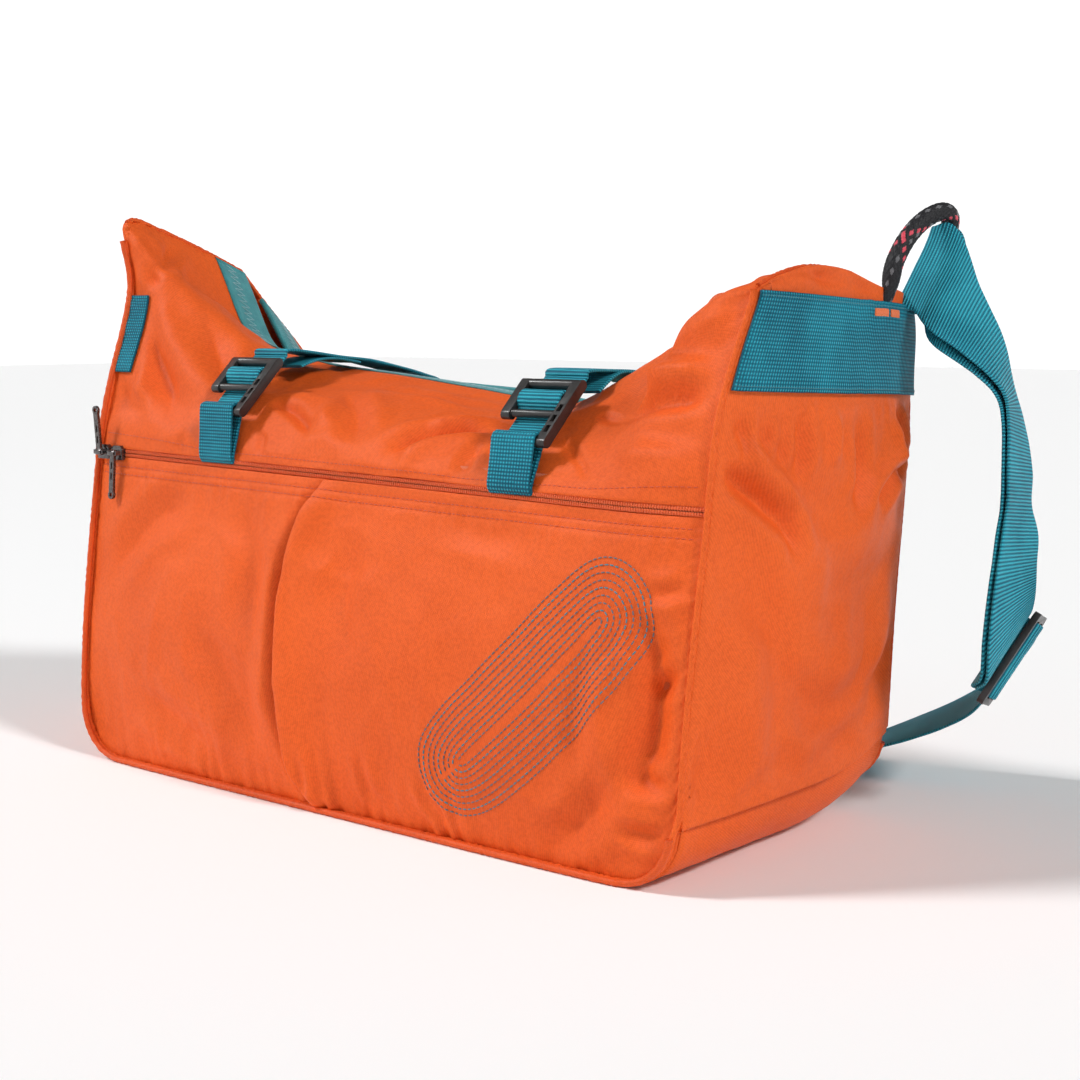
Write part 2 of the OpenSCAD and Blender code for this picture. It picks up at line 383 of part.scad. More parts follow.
// sewn end, up behind, round the rope, down through the adjuster, along the
// ground behind the bag and up to the left rope
strapP = concat([for (k = [nO:-1:1]) sO[k] + sN[k]], [[259.3, 130.4, 309], [250.6, 131, 311.9], [246.9, 124.8, 312.2], [249.4, 116.2, 312.9]], sO,
    [[288.7, 162.3, 89.5], [279.4, 180.9, 79.5], [261, 192, 61], [235, 194, 44], [205, 190, 29],
    [170, 184, 15], [130, 178, 5], [85, 175, 1.8], [25, 174, 1.4], [-45, 174, 1.4], [-110, 172, 1.6], [-170, 167, 4], [-216, 162, 16], [-247, 158, 45], [-261, 157, 95],
    [-266.5, 157, 150], [-267, 157, 190], [-265.4, 157, 206], [-258, 157, 211.6], [-250.8, 157, 206.5], [-250.8, 157, 192], [-254, 157, 168]]);
strapV = concat([for (k = [nO:-1:1]) sV[k]], [Fs, Fs, Fs, Fs], sV,
    [[0.35, 0.55, 0.75], [0.25, 0.75, 0.6], [0.1, 0.88, 0.45], [0.1, 0.92, 0.38], [0.05, 0.97, 0.25], [0, 1, 0.1]],
    [for (k = [1:16]) [0, 1, 0]]);
// rings close together in the tight turns, further apart in the long runs
strap_rings = concat([for (k = [0:1:10]) k], [for (k = [11:0.5:17]) k], [for (k = [18:1:44]) k], [for (k = [45:0.5:50]) k]);
module shoulder_strap() color(teal) ribbon(strapP, strapV, strap_w, web_t, 0, strap_rings);
module at_adjuster() translate(adj) rotate(adj_rot) children();
// three-bar slide on the shoulder strap
module strap_adjuster() color(black) at_adjuster() {
    difference() {
        translate([0, 0, -1.9]) linear_extrude(3.8) difference() {
            union() { square([60, 26], center = true); square([54, 33], center = true);
                for (x = [-27, 27]) for (y = [-13, 13]) translate([x, y]) circle(r = 3.3); }
            for (s = [-1, 1]) translate([-(strap_w + 2) / 2, s > 0 ? 3.2 : -11.7]) square([strap_w + 2, 8.5]);
        }
    }
}
// turn of webbing over the middle bar, on the outer face
module adjuster_webbing_turn() color(teal) at_adjuster()
    ribbon([[0, -7.4, 0.6], [0, -6.2, -1.8], [0, -3.2, -3.5], [0, 0, -3.9], [0, 3.2, -3.5], [0, 6.2, -1.8], [0, 7.4, 0.6]],
        [for (k = [0:6]) [1, 0, 0]], strap_w, web_t, 18);
// dense stitching that holds each rope handle to its band
module bartacks() color(orange) {
    for (y = [66, 82]) bartack(1, y);
    for (y = [78, 100]) bartack(-1, y);
}
module bartack(s, y) {
    t = (y + 45) / 155;
    A = [for (a = [-6, 0, 6]) [for (b = [0, 3.4]) [t + a / 165, band_top(s, t) - 8 + b]]];
    f = wall_t + (s > 0 ? 0.6 : 1.1) + web_t;
    B = [for (r = A) [for (g = r) gus3(s, g[0], hfind(s, g[0], g[1]), f + (s > 0 ? 1 : 0))]];
    C = [for (r = A) [for (g = r) gus3(s, g[0], hfind(s, g[0], g[1]), f + (s > 0 ? 0 : 1))]];
    quads_solid(B, C);
}

// ---------- inside ----------
module tie_in_loop(x) color(teal) translate([x, 20, wall_t + 1.2]) rotate([0, 0, 90]) rotate([90, 0, 0])
    linear_extrude(20, center = true) difference() {
        union() { translate([0, 30]) circle(r = 10); translate([-10, 0]) square([20, 30]); }
        translate([0, 30]) circle(r = 10 - web_t);
        translate([-10 + web_t, web_t]) square([20 - 2 * web_t, 30]);
    }
module tie_in_loop_left() tie_in_loop(-186);
module tie_in_loop_right() tie_in_loop(186);

front_panel();
front_pocket_left();
front_pocket_right();
pocket_back_wall();
back_panel();
base_panel();
left_gusset();
right_gusset();
mouth_binding_front();
mouth_binding_back();
base_piping();
zip_tapes();
zip_coil();
zip_slider_left();
zip_slider_right();
zip_pull_left();
zip_pull_right();
band_left();
band_right();
bartacks();
rope_handle_left();
rope_handle_right();
shoulder_strap();
strap_adjuster();
adjuster_webbing_turn();
compression_strap_left();
compression_strap_right();
strap_end_left();
strap_end_right();
hook_buckle_left();
hook_buckle_right();
buckle_loop_left();
buckle_loop_right();
tie_in_loop_left();
tie_in_loop_right();
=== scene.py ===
import bpy, bmesh, math
import numpy as np
from mathutils import Vector, Matrix, Euler


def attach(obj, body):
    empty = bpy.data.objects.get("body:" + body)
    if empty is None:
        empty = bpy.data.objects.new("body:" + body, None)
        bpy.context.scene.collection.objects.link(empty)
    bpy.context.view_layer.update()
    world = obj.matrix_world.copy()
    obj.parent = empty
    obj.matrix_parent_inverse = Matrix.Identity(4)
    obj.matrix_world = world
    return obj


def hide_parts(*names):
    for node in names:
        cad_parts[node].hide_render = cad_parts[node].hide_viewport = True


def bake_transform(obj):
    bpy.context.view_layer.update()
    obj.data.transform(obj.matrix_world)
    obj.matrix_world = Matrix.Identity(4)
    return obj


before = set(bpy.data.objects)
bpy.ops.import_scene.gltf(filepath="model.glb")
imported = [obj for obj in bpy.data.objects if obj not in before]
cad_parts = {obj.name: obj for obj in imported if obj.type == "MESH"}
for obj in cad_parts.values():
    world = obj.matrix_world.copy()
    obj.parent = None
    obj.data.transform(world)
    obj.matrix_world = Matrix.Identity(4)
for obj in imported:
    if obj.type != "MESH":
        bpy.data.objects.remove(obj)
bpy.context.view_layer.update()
scene = bpy.context.scene
scene.view_settings.view_transform = "Standard"
scene.view_settings.look = "None"

# ------------------------------------------------------------------ camera
D = Vector((-0.639, 0.760, -0.120)).normalized()
TARGET = Vector((0.0668, 0.0, 0.1562))
cam_data = bpy.data.cameras.new("camera")
cam = bpy.data.objects.new("camera", cam_data)
scene.collection.objects.link(cam)
right = D.cross(Vector((0, 0, 1))).normalized()
up = right.cross(D).normalized()
m = Matrix((right, up, -D)).transposed().to_4x4()
m.translation = TARGET - D * 1.0783
cam.matrix_world = m
cam_data.sensor_width = 36.0
cam_data.lens = 61.1
cam_data.clip_start = 0.01
cam_data.clip_end = 30
scene.camera = cam

# ------------------------------------------------------------------ shape (mm), the same tables as the CAD
HX, ZIP_H, CORNER, WALL, GB, PB = 240.0, 195.0, 34.0, 2.4, 11.0, 13.0
SX = np.array([-1, -0.925, -0.83, -0.71, -0.54, -0.29, 0, 0.21, 0.34, 0.46, 0.60, 0.72, 0.83, 0.925, 1]) * HX
SF = np.array([
    [[-82, 3], [-71, 46], [-47, 106], [-45, 150], [-10, 143], [20, 132], [50, 119]],
    [[-86, 3], [-73, 43], [-53, 90], [-42, 123], [-14, 109], [18, 87], [50, 73]],
    [[-86, 3], [-74, 39], [-56, 77], [-37, 100], [-10, 93], [20, 73], [50, 59]],
    [[-86, 3], [-76, 33], [-58, 61], [-34, 77], [-8, 75], [20, 65], [48, 55]],
    [[-86, 3], [-79, 22], [-61, 41], [-34, 53], [-8, 58], [20, 57], [46, 54]],
    [[-86, 3], [-79, 21], [-60, 39], [-34, 49], [-8, 52], [20, 53], [45, 51]],
    [[-86, 3], [-79, 19], [-60, 34], [-34, 43], [-8, 46], [20, 47], [45, 46]],
    [[-86, 3], [-79, 17], [-60, 30], [-34, 38], [-8, 41], [20, 42], [45, 41]],
    [[-86, 3], [-78, 15], [-60, 26], [-34, 33], [-8, 37], [20, 37], [45, 36]],
    [[-86, 3], [-77, 17], [-59, 33], [-34, 43], [-8, 48], [20, 45], [46, 41]],
    [[-86, 3], [-76, 19], [-57, 35], [-34, 52], [-8, 66], [20, 60], [47, 50]],
    [[-86, 3], [-76, 21], [-58, 39], [-36, 56], [-8, 84], [20, 75], [48, 59]],
    [[-85, 3], [-73, 34], [-54, 72], [-40, 98], [-10, 102], [20, 91], [50, 73]],
    [[-81, 3], [-71, 43], [-50, 90], [-42, 109], [-10, 113], [20, 110], [50, 97]],
    [[-77, 3], [-69, 47], [-47, 101], [-42, 112], [-10, 121], [20, 122], [50, 118]]], float)
BX = np.array([-1, -0.925, -0.83, -0.54, 0, 0.38, 0.60, 0.83, 0.925, 1]) * HX
SB = np.array([
    [[102, 52], [108, 110], [114, 165], [118, 212], [108, 248], [64, 300]],
    [[102, 36], [112, 105], [118, 170], [119, 214], [104, 244], [68, 262]],
    [[101, 24], [112, 100], [119, 168], [118, 214], [102, 240], [70, 250]],
    [[100, 18], [114, 95], [120, 165], [117, 212], [101, 238], [71, 246]],
    [[100, 18], [114, 90], [120, 160], [116, 208], [100, 232], [72, 240]],
    [[100, 18], [114, 90], [120, 160], [116, 206], [100, 226], [72, 231]],
    [[100, 18], [114, 95], [120, 165], [117, 212], [101, 233], [71, 241]],
    [[101, 24], [112, 105], [119, 172], [119, 225], [103, 254], [70, 262]],
    [[102, 36], [110, 115], [118, 180], [119, 236], [106, 278], [68, 284]],
    [[102, 52], [108, 125], [116, 190], [119, 240], [109, 294], [64, 303]]], float)


def crv(P, t):
    """Catmull-Rom through the rows of P at t from 0 to 1 (an array)."""
    P = np.asarray(P, float)
    t = np.atleast_1d(np.asarray(t, float))
    n = len(P) - 1
    s = np.clip(t, 0, 1) * n
    i = np.minimum(np.floor(s).astype(int), n - 1)
    f = (s - i).reshape(-1, *([1] * (P.ndim - 1)))
    Q = np.concatenate([(2 * P[0] - P[1])[None], P, (2 * P[n] - P[n - 1])[None]])
    a, b, c, d = Q[i], Q[i + 1], Q[i + 2], Q[i + 3]
    return 0.5 * (2 * b + (c - a) * f + (2 * a - 5 * b + 4 * c - d) * f ** 2 + (3 * b - a - 3 * c + d) * f ** 3)


def station(S, x):
    x = np.clip(x, S[0], S[-1])
    i = np.clip(np.searchsorted(S, x, side="left") - 1, 0, len(S) - 2)
    return (i + (x - S[i]) / (S[i + 1] - S[i])) / (len(S) - 1)


def zb(x):
    e = np.maximum(np.abs(x) - (HX - CORNER), 0)
    return CORNER - np.sqrt(np.maximum(CORNER ** 2 - e ** 2, 0))


def zip_line(x):
    return ZIP_H - 0.02 * x


def lean(x, z):
    k = np.where(x < 0, 17.0, 9.0)
    return np.sign(x) * k * np.clip((z - 240) / 105, 0, 1) ** 1.5 * np.clip((np.abs(x) - 150) / 90, 0, 1) ** 2


def rows(S, T, x, w):
    """x, w arrays of one shape; S stations, T tables: the point of each section at w."""
    sh = x.shape
    x, w = x.ravel(), w.ravel()
    ux, inv = np.unique(np.round(x, 4), return_inverse=True)
    sec = crv(T, station(S, ux))
    out = np.zeros((len(x), 2))
    for k in range(len(ux)):
        sel = inv == k
        out[sel] = crv(sec[k], w[sel])
    return out.reshape(*sh, 2)


def upper(x, w):
    q = rows(SX, SF, x, w)
    z = q[..., 1] + zip_line(x)
    return np.stack([x + lean(x, z), q[..., 0], z], -1)


def back(x, w):
    sh = x.shape
    x, w = x.ravel(), w.ravel()
    ux, inv = np.unique(np.round(x, 4), return_inverse=True)
    sec = crv(SB, station(BX, ux))
    sec[:, 0, 1] = zb(ux) + 18.2
    out = np.zeros((len(x), 3))
    for k in range(len(ux)):
        sel = inv == k
        q = crv(sec[k], w[sel])
        out[sel] = np.stack([x[sel] + lean(x[sel], q[:, 1]), q[:, 0], q[:, 1]], -1)
    return out.reshape(*sh, 3)


def base_y0(x):
    return -104 + 4 * (np.abs(x) / HX) ** 6


def zy(x):
    return crv(SF[:, 0, 0], station(SX, x))


def pocket(x, v):
    z0 = zb(x)
    z = z0 + (zip_line(x) - z0) * v
    vv = np.clip(z / zip_line(x), 0, 1)
    b = PB * np.sin(np.pi * vv ** 0.8) ** 1.3 * (1 - 0.75 * (np.abs(x) / HX) ** 3)
    zyv = zy(x.ravel()).reshape(x.shape)
    y = base_y0(x) + (zyv - base_y0(x)) * vv ** 1.15 - b
    return np.stack([x, y, z], -1)


def base_rise(t):
    return 15 * np.clip((t - 0.6) / 0.4, 0, 1) ** 2.2


def fseam(s, h):
    h = np.atleast_1d(h)
    x = np.full(h.shape, s * HX)
    z = CORNER + 1 + (zip_line(x) + 2 - CORNER - 1) * h / 0.62
    v = (z - CORNER) / (zip_line(x) - CORNER)
    low = np.stack([pocket(x, np.clip(v, 0, 1))[..., 1], z], -1)
    hi = upper(x, np.clip(0.5 * (h - 0.62) / 0.38, 0, 1))[..., 1:]
    hi[:, 1] = np.maximum(hi[:, 1], zip_line(x) + 2.5)
    return np.where((h < 0.62)[:, None], low, hi)


def gtop(s, t):
    t = np.atleast_1d(t)
    x = np.full(t.shape, s * HX)
    a = upper(x, np.clip(0.5 + 0.5 * t / 0.6, 0, 1))[..., 1:]
    b = back(x, np.clip(1 - 0.2 * (t - 0.6) / 0.4, 0, 1))[..., 1:]
    return np.where((t < 0.6)[:, None], a, b)


def gbot(s, t):
    t = np.atleast_1d(t)
    yf, yb = base_y0(HX) + 0.2, 101.0
    return np.stack([yf + (yb - yf) * t, CORNER + 1 + base_rise(t)], -1)


def bseam(s, h):
    h = np.atleast_1d(h)
    return back(np.full(h.shape, s * HX), 0.8 * h)[..., 1:]


def gus(s, T, H):
    """T, H one-dimensional: the Coons patch of a gusset in its Y, Z plane."""
    soft = np.clip(np.minimum(T, 1 - T) / 0.07, 0, 1)
    top = sum(gtop(s, T + o * soft) for o in np.linspace(-0.07, 0.07, 15)) / 15
    F, B, b, u = fseam(s, H)[None], bseam(s, H)[None], gbot(s, T)[:, None], top[:, None]
    c00, c10, c01, c11 = gbot(s, 0)[0], gbot(s, 1)[0], gtop(s, 0)[0], gtop(s, 1)[0]
    t, h = T[:, None, None], H[None, :, None]
    return F * (1 - t) + B * t + b * (1 - h) + u * h - ((c00 * (1 - t) + c10 * t) * (1 - h) + (c01 * (1 - t) + c11 * t) * h)


# ------------------------------------------------------------------ noise and creases
def noise3(P, scale, seed=0):
    """Smooth value noise of points P (mm), about -1 to 1, fixed by its seed."""
    q = np.asarray(P, float) / scale + seed * 17.137
    i = np.floor(q).astype(np.int64)
    f = q - i
    f = f * f * (3 - 2 * f)
    out = np.zeros(q.shape[:-1])
    for dx in (0, 1):
        for dy in (0, 1):
            for dz in (0, 1):
                h = (i[..., 0] + dx) * 374761393 + (i[..., 1] + dy) * 668265263 + (i[..., 2] + dz) * 2147483647 + seed * 1274126177
                h = (h ^ (h >> 13)) * 1274126177 & 0x7FFFFFFF
                h = ((h ^ (h >> 16)) & 0xFFFF) / 32767.5 - 1
                wgt = (f[..., 0] if dx else 1 - f[..., 0]) * (f[..., 1] if dy else 1 - f[..., 1]) * (f[..., 2] if dz else 1 - f[..., 2])
                out += h * wgt
    return out


def crumple(P, scale, seed):
    """Crisp fold lines between soft facets, about 0 to 1, as in thin coated cloth."""
    w = np.stack([noise3(P, scale * 1.7, seed + 50 + i) for i in range(3)], -1) * scale * 0.35
    n = np.abs(noise3(P + w, scale, seed))
    return np.clip(1 - n * 1.9, 0, 1) ** 1.6


def crease(P, pts, width, depth, sharp=0.55, fade=0.25, side=0.0):
    """Depth of a fold line through pts (mm) at the points P: a sharp valley (depth < 0) or ridge with soft shoulders."""
    pts = np.asarray(pts, float)
    path = crv(pts, np.linspace(0, 1, 8 * len(pts)))
    best = np.full(P.shape[:-1], 1e9)
    along = np.zeros(P.shape[:-1])
    L = np.concatenate([[0], np.cumsum(np.linalg.norm(np.diff(path, axis=0), axis=1))])
    for a, b, l0, l1 in zip(path[:-1], path[1:], L[:-1], L[1:]):
        ab = b - a
        t = np.clip(((P - a) @ ab) / (ab @ ab), 0, 1)
        d = np.linalg.norm(P - a - t[..., None] * ab, axis=-1)
        m_ = d < best
        best = np.where(m_, d, best)
        along = np.where(m_, (l0 + t * (l1 - l0)) / L[-1], along)
    k = np.clip(along / fade, 0, 1) * np.clip((1 - along) / fade, 0, 1)
    k = k * k * (3 - 2 * k)
    r = best / width
    return depth * k * (np.exp(-(r / sharp) ** 1.3) - 0.45 * np.exp(-((r - 1.15) / 0.55) ** 2))


def grid_normals(P):
    du = np.gradient(P, axis=0)
    dv = np.gradient(P, axis=1)
    n = np.cross(du, dv)
    return n / np.maximum(np.linalg.norm(n, axis=-1, keepdims=True), 1e-9)


# ------------------------------------------------------------------ mesh helpers
def link(ob):
    scene.collection.objects.link(ob)
    return ob


def make(name, verts, faces, mats, body="bag", replaces=(), slot=None, uv=None, smooth=True, mat_index=None, ride=True):
    """verts in mm."""
    me = bpy.data.meshes.new(name)
    me.from_pydata((np.asarray(verts, float) / 1000.0).tolist(), [], [tuple(int(i) for i in f) for f in faces])
    for m_ in (mats if isinstance(mats, (list, tuple)) else [mats]):
        me.materials.append(m_)
    if smooth:
        me.polygons.foreach_set("use_smooth", [True] * len(me.polygons))
    if mat_index is not None:
        me.polygons.foreach_set("material_index", list(mat_index))
    if uv is not None:
        layer = me.uv_layers.new(name="UVMap")
        li = np.zeros(len(me.loops), np.int32)
        me.loops.foreach_get("vertex_index", li)
        layer.data.foreach_set("uv", (np.asarray(uv, float)[li] / 1000.0).astype(np.float32).ravel())
    me.update()
    ob = link(bpy.data.objects.new(name, me))
    if ride:
        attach(ob, body)
    if replaces:
        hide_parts(*replaces)
    return ob


def grid_faces(n, m, off=0, flip=False, wrap=False):
    mm = m if wrap else m - 1
    i, j = np.meshgrid(np.arange(n - 1), np.arange(mm), indexing="ij")
    i, j = i.ravel(), j.ravel()
    j2 = (j + 1) % m
    f = np.stack([i * m + j, (i + 1) * m + j, (i + 1) * m + j2, i * m + j2], -1) + off
    return f[:, ::-1] if flip else f


def arc_uv(P):
    a = np.concatenate([np.zeros((1, P.shape[1])), np.cumsum(np.linalg.norm(np.diff(P, axis=0), axis=-1), axis=0)])
    b = np.concatenate([np.zeros((P.shape[0], 1)), np.cumsum(np.linalg.norm(np.diff(P, axis=1), axis=-1), axis=1)], axis=1)
    a = np.broadcast_to(a.mean(1, keepdims=True), a.shape)
    b = np.broadcast_to(b.mean(0, keepdims=True), b.shape)
    return np.stack([a, b], -1)


def shell(P, t, centre=(0, 0, 120), N=None):
    """A closed sheet: outer grid P, inner grid t further in. Returns verts, faces, uv."""
    n, m, _ = P.shape
    if N is None:
        N = grid_normals(P)
    flip = np.mean(np.sum(N * (P - np.array(centre)), -1)) < 0
    if flip:
        N = -N
    Q = P - N * t
    uv = arc_uv(P)
    V = np.concatenate([P.reshape(-1, 3), Q.reshape(-1, 3)])
    F = [grid_faces(n, m, 0, flip), grid_faces(n, m, n * m, not flip)]
    o = n * m
    I = np.arange(n * m).reshape(n, m)
    ring = np.concatenate([I[:, 0], I[-1, 1:], I[-2::-1, -1], I[0, -2::-1]])
    ring = ring[:-1] if ring[0] == ring[-1] else ring
    nx = np.roll(ring, -1)
    side = np.stack([ring, nx, nx + o, ring + o], -1)
    F.append(side[:, ::-1] if not flip else side)
    return V, np.concatenate(F), np.concatenate([uv.reshape(-1, 2)] * 2), N


def tube_rings(C, R, k=12, ref=None, squash=None):
    """Rings of a round tube along C (mm), radius R (number or per ring)."""
    C = np.asarray(C, float)
    n = len(C)
    T = np.gradient(C, axis=0)
    T /= np.linalg.norm(T, axis=1, keepdims=True)
    u = np.zeros_like(C)
    a = np.array([0, 0, 1.0]) if ref is None else np.asarray(ref, float)
    a = a - a @ T[0] * T[0]
    if np.linalg.norm(a) < 1e-3:
        a = np.cross(T[0], [1, 0, 0])
    u[0] = a / np.linalg.norm(a)
    for i in range(1, n):
        v = u[i - 1] - u[i - 1] @ T[i] * T[i]
        u[i] = v / np.linalg.norm(v)
    w = np.cross(T, u)
    ang = np.linspace(0, 2 * np.pi, k, endpoint=False)
    R = np.broadcast_to(np.asarray(R, float), (n,)) if np.ndim(R) < 2 else R
    if np.ndim(R) == 1:
        R = R[:, None]
    return C[:, None] + R[..., None] * (np.cos(ang)[None, :, None] * u[:, None] + np.sin(ang)[None, :, None] * w[:, None])


def ring_solid(Rg):
    n, k, _ = Rg.shape
    V = Rg.reshape(-1, 3)
    F = grid_faces(n, k, 0, True, wrap=True).tolist()
    F.append(list(range(k))[::-1] if False else list(range(k)))
    F.append([(n - 1) * k + j for j in range(k)][::-1])
    L = np.concatenate([[0], np.cumsum(np.linalg.norm(np.diff(Rg.mean(1), axis=0), axis=1))])
    r = np.linalg.norm(Rg[0, 0] - Rg[0].mean(0))
    uv = np.stack(np.broadcast_arrays(np.arange(k)[None] / k * 2 * np.pi * r, L[:, None]), -1).reshape(-1, 2)
    return V, F, uv


def ribbon_rings(C, W, w, t, k_edge=3):
    """Cross-sections of a flat strap with rounded edges: C centres, W width directions."""
    C, W = np.asarray(C, float), np.asarray(W, float)
    T = np.gradient(C, axis=0)
    T /= np.linalg.norm(T, axis=1, keepdims=True)
    W = W - np.sum(W * T, 1, keepdims=True) * T
    W /= np.linalg.norm(W, axis=1, keepdims=True)
    N = np.cross(T, W)
    prof = []
    r = t / 2
    xs = np.linspace(-w / 2 + r, w / 2 - r, 9)
    for x in xs:
        prof.append((x, -r))
    for a in np.linspace(-90, 90, k_edge + 2)[1:-1]:
        prof.append((w / 2 - r + r * math.cos(math.radians(a)), r * math.sin(math.radians(a))))
    for x in xs[::-1]:
        prof.append((x, r))
    for a in np.linspace(90, 270, k_edge + 2)[1:-1]:
        prof.append((-w / 2 + r + r * math.cos(math.radians(a)), r * math.sin(math.radians(a))))
    prof = np.array(prof)
    Rg = C[:, None] + prof[None, :, 0:1] * W[:, None] + prof[None, :, 1:2] * N[:, None]
    L = np.concatenate([[0], np.cumsum(np.linalg.norm(np.diff(C, axis=0), axis=1))])
    uv = np.stack(np.broadcast_arrays(prof[None, :, 0] + w / 2, L[:, None]), -1).reshape(-1, 2)
    return Rg, uv, N


def ribbon(name, C, W, w, t, mats, **kw):
    Rg, uv, N = ribbon_rings(C, W, w, t)
    V, F, _ = ring_solid(Rg)
    # outward faces
    return make(name, V, orient(V, F), mats, uv=uv, **kw)


def orient(V, F):
    """Turns all faces over if the closed mesh's volume is negative."""
    V = np.asarray(V)
    vol = 0.0
    for f in F:
        a = V[f[0]]
        for i in range(1, len(f) - 1):
            vol += np.dot(a, np.cross(V[f[i]], V[f[i + 1]]))
    return F if vol > 0 else [list(f)[::-1] for f in F]


def capsules(A, B, r, k=6, rings=2):
    """One mesh of many small stitches from A[i] to B[i] (mm), tapering at the ends."""
    A, B = np.asarray(A, float), np.asarray(B, float)
    n = len(A)
    d = B - A
    L = np.linalg.norm(d, axis=1, keepdims=True)
    d = d / np.maximum(L, 1e-9)
    ref = np.where(np.abs(d[:, 2:3]) < 0.9, np.array([[0, 0, 1.0]]), np.array([[1.0, 0, 0]]))
    u = np.cross(d, ref)
    u /= np.linalg.norm(u, axis=1, keepdims=True)
    w = np.cross(d, u)
    r = np.broadcast_to(np.asarray(r, float), (n,))[:, None]
    ts = [(-0.02, 0.25), (0.1, 0.85), (0.5, 1.0), (0.9, 0.85), (1.02, 0.25)]
    V = []
    for t, k_r in ts:
        c = A + d * L * t
        for j in range(k):
            a = 2 * np.pi * j / k
            V.append(c + r * k_r * (math.cos(a) * u + math.sin(a) * w))
    V = np.stack(V, 1)  # n, rings*k, 3
    m_ = len(ts) * k
    base = grid_faces(len(ts), k, 0, True, wrap=True)
    off = np.arange(n) * m_
    quads = (base[None] + off[:, None, None]).reshape(-1, 4)
    cap0 = np.arange(k)[None] + off[:, None]
    cap1 = (len(ts) - 1) * k + np.arange(k)[::-1][None] + off[:, None]
    F = [list(f) for f in quads] + [list(f) for f in cap0] + [list(f) for f in cap1]
    return V.reshape(-1, 3), F


# ------------------------------------------------------------------ materials
class Nodes:
    def __init__(self, name):
        self.mat = bpy.data.materials.new(name)
        self.mat.use_nodes = True
        self.t = self.mat.node_tree
        self.bsdf = self.t.nodes["Principled BSDF"]

    def new(self, kind, **props):
        n = self.t.nodes.new(kind)
        for k, v in props.items():
            if k == "inputs":
                for a, b in v.items():
                    n.inputs[a].default_value = b
            else:
                setattr(n, k, v)
        return n

    def link(self, a, b):
        self.t.links.new(a, b)

    def set(self, **kw):
        names = {"rough": "Roughness", "metal": "Metallic", "spec": "Specular IOR Level", "sheen": "Sheen Weight", "sheen_rough": "Sheen Roughness",
                 "coat": "Coat Weight", "coat_rough": "Coat Roughness", "sss": "Subsurface Weight", "trans": "Transmission Weight", "ior": "IOR"}
        for k, v in kw.items():
            self.bsdf.inputs[names[k]].default_value = v

    def uvmm(self, angle=0.0):
        uv = self.new("ShaderNodeUVMap", uv_map="UVMap")
        mp = self.new("ShaderNodeMapping")
        mp.inputs["Scale"].default_value = (1000, 1000, 1000)
        mp.inputs["Rotation"].default_value = (0, 0, math.radians(angle))
        self.link(uv.outputs["UV"], mp.inputs["Vector"])
        return mp.outputs["Vector"]

    def obj(self):
        tc = self.new("ShaderNodeTexCoord")
        return tc.outputs["Object"]

    def wave(self, vec, period, direction="X", distortion=0.0, dscale=1.0, profile="SIN", phase=0.0):
        w = self.new("ShaderNodeTexWave", wave_type="BANDS", bands_direction=direction, wave_profile=profile)
        w.inputs["Scale"].default_value = 2 * math.pi / 20 / period
        w.inputs["Distortion"].default_value = distortion
        w.inputs["Detail"].default_value = 0.0
        w.inputs["Detail Scale"].default_value = dscale
        w.inputs["Phase Offset"].default_value = phase
        self.link(vec, w.inputs["Vector"])
        return w.outputs["Fac"]

    def noise(self, vec, scale, detail=3.0, rough=0.5, dist=0.0):
        n = self.new("ShaderNodeTexNoise")
        n.inputs["Scale"].default_value = scale
        n.inputs["Detail"].default_value = detail
        n.inputs["Roughness"].default_value = rough
        n.inputs["Distortion"].default_value = dist
        if vec is not None:
            self.link(vec, n.inputs["Vector"])
        return n.outputs["Fac"]

    def math(self, op, a, b=None, clamp=False):
        n = self.new("ShaderNodeMath", operation=op, use_clamp=clamp)
        for i, v in enumerate((a, b)):
            if v is None:
                continue
            if isinstance(v, (int, float)):
                n.inputs[i].default_value = v
            else:
                self.link(v, n.inputs[i])
        return n.outputs[0]

    def maprange(self, v, a, b, c, d):
        n = self.new("ShaderNodeMapRange")
        n.inputs["From Min"].default_value = a
        n.inputs["From Max"].default_value = b
        n.inputs["To Min"].default_value = c
        n.inputs["To Max"].default_value = d
        self.link(v, n.inputs["Value"])
        return n.outputs["Result"]

    def mix(self, fac, a, b):
        n = self.new("ShaderNodeMix", data_type="RGBA")
        ca, cb = n.inputs[6], n.inputs[7]
        for sock, v in ((ca, a), (cb, b)):
            if isinstance(v, (tuple, list)):
                sock.default_value = (*v[:3], 1)
            else:
                self.link(v, sock)
        if isinstance(fac, (int, float)):
            n.inputs[0].default_value = fac
        else:
            self.link(fac, n.inputs[0])
        return n.outputs[2]

    def bump(self, height, dist, strength=1.0, normal=None):
        n = self.new("ShaderNodeBump")
        n.inputs["Distance"].default_value = dist
        n.inputs["Strength"].default_value = strength
        self.link(height, n.inputs["Height"])
        if normal is not None:
            self.link(normal, n.inputs["Normal"])
        return n.outputs["Normal"]

    def out(self, color=None, rough=None, normal=None):
        if color is not None:
            if isinstance(color, (tuple, list)):
                self.bsdf.inputs["Base Color"].default_value = (*color[:3], 1)
            else:
                self.link(color, self.bsdf.inputs["Base Color"])
        if rough is not None:
            self.link(rough, self.bsdf.inputs["Roughness"])
        if normal is not None:
            self.link(normal, self.bsdf.inputs["Normal"])
        return self.mat


def lin(r, g, b):
    return tuple(((c / 255 + 0.055) / 1.055) ** 2.4 if c > 10 else c / 255 / 12.92 for c in (r, g, b))


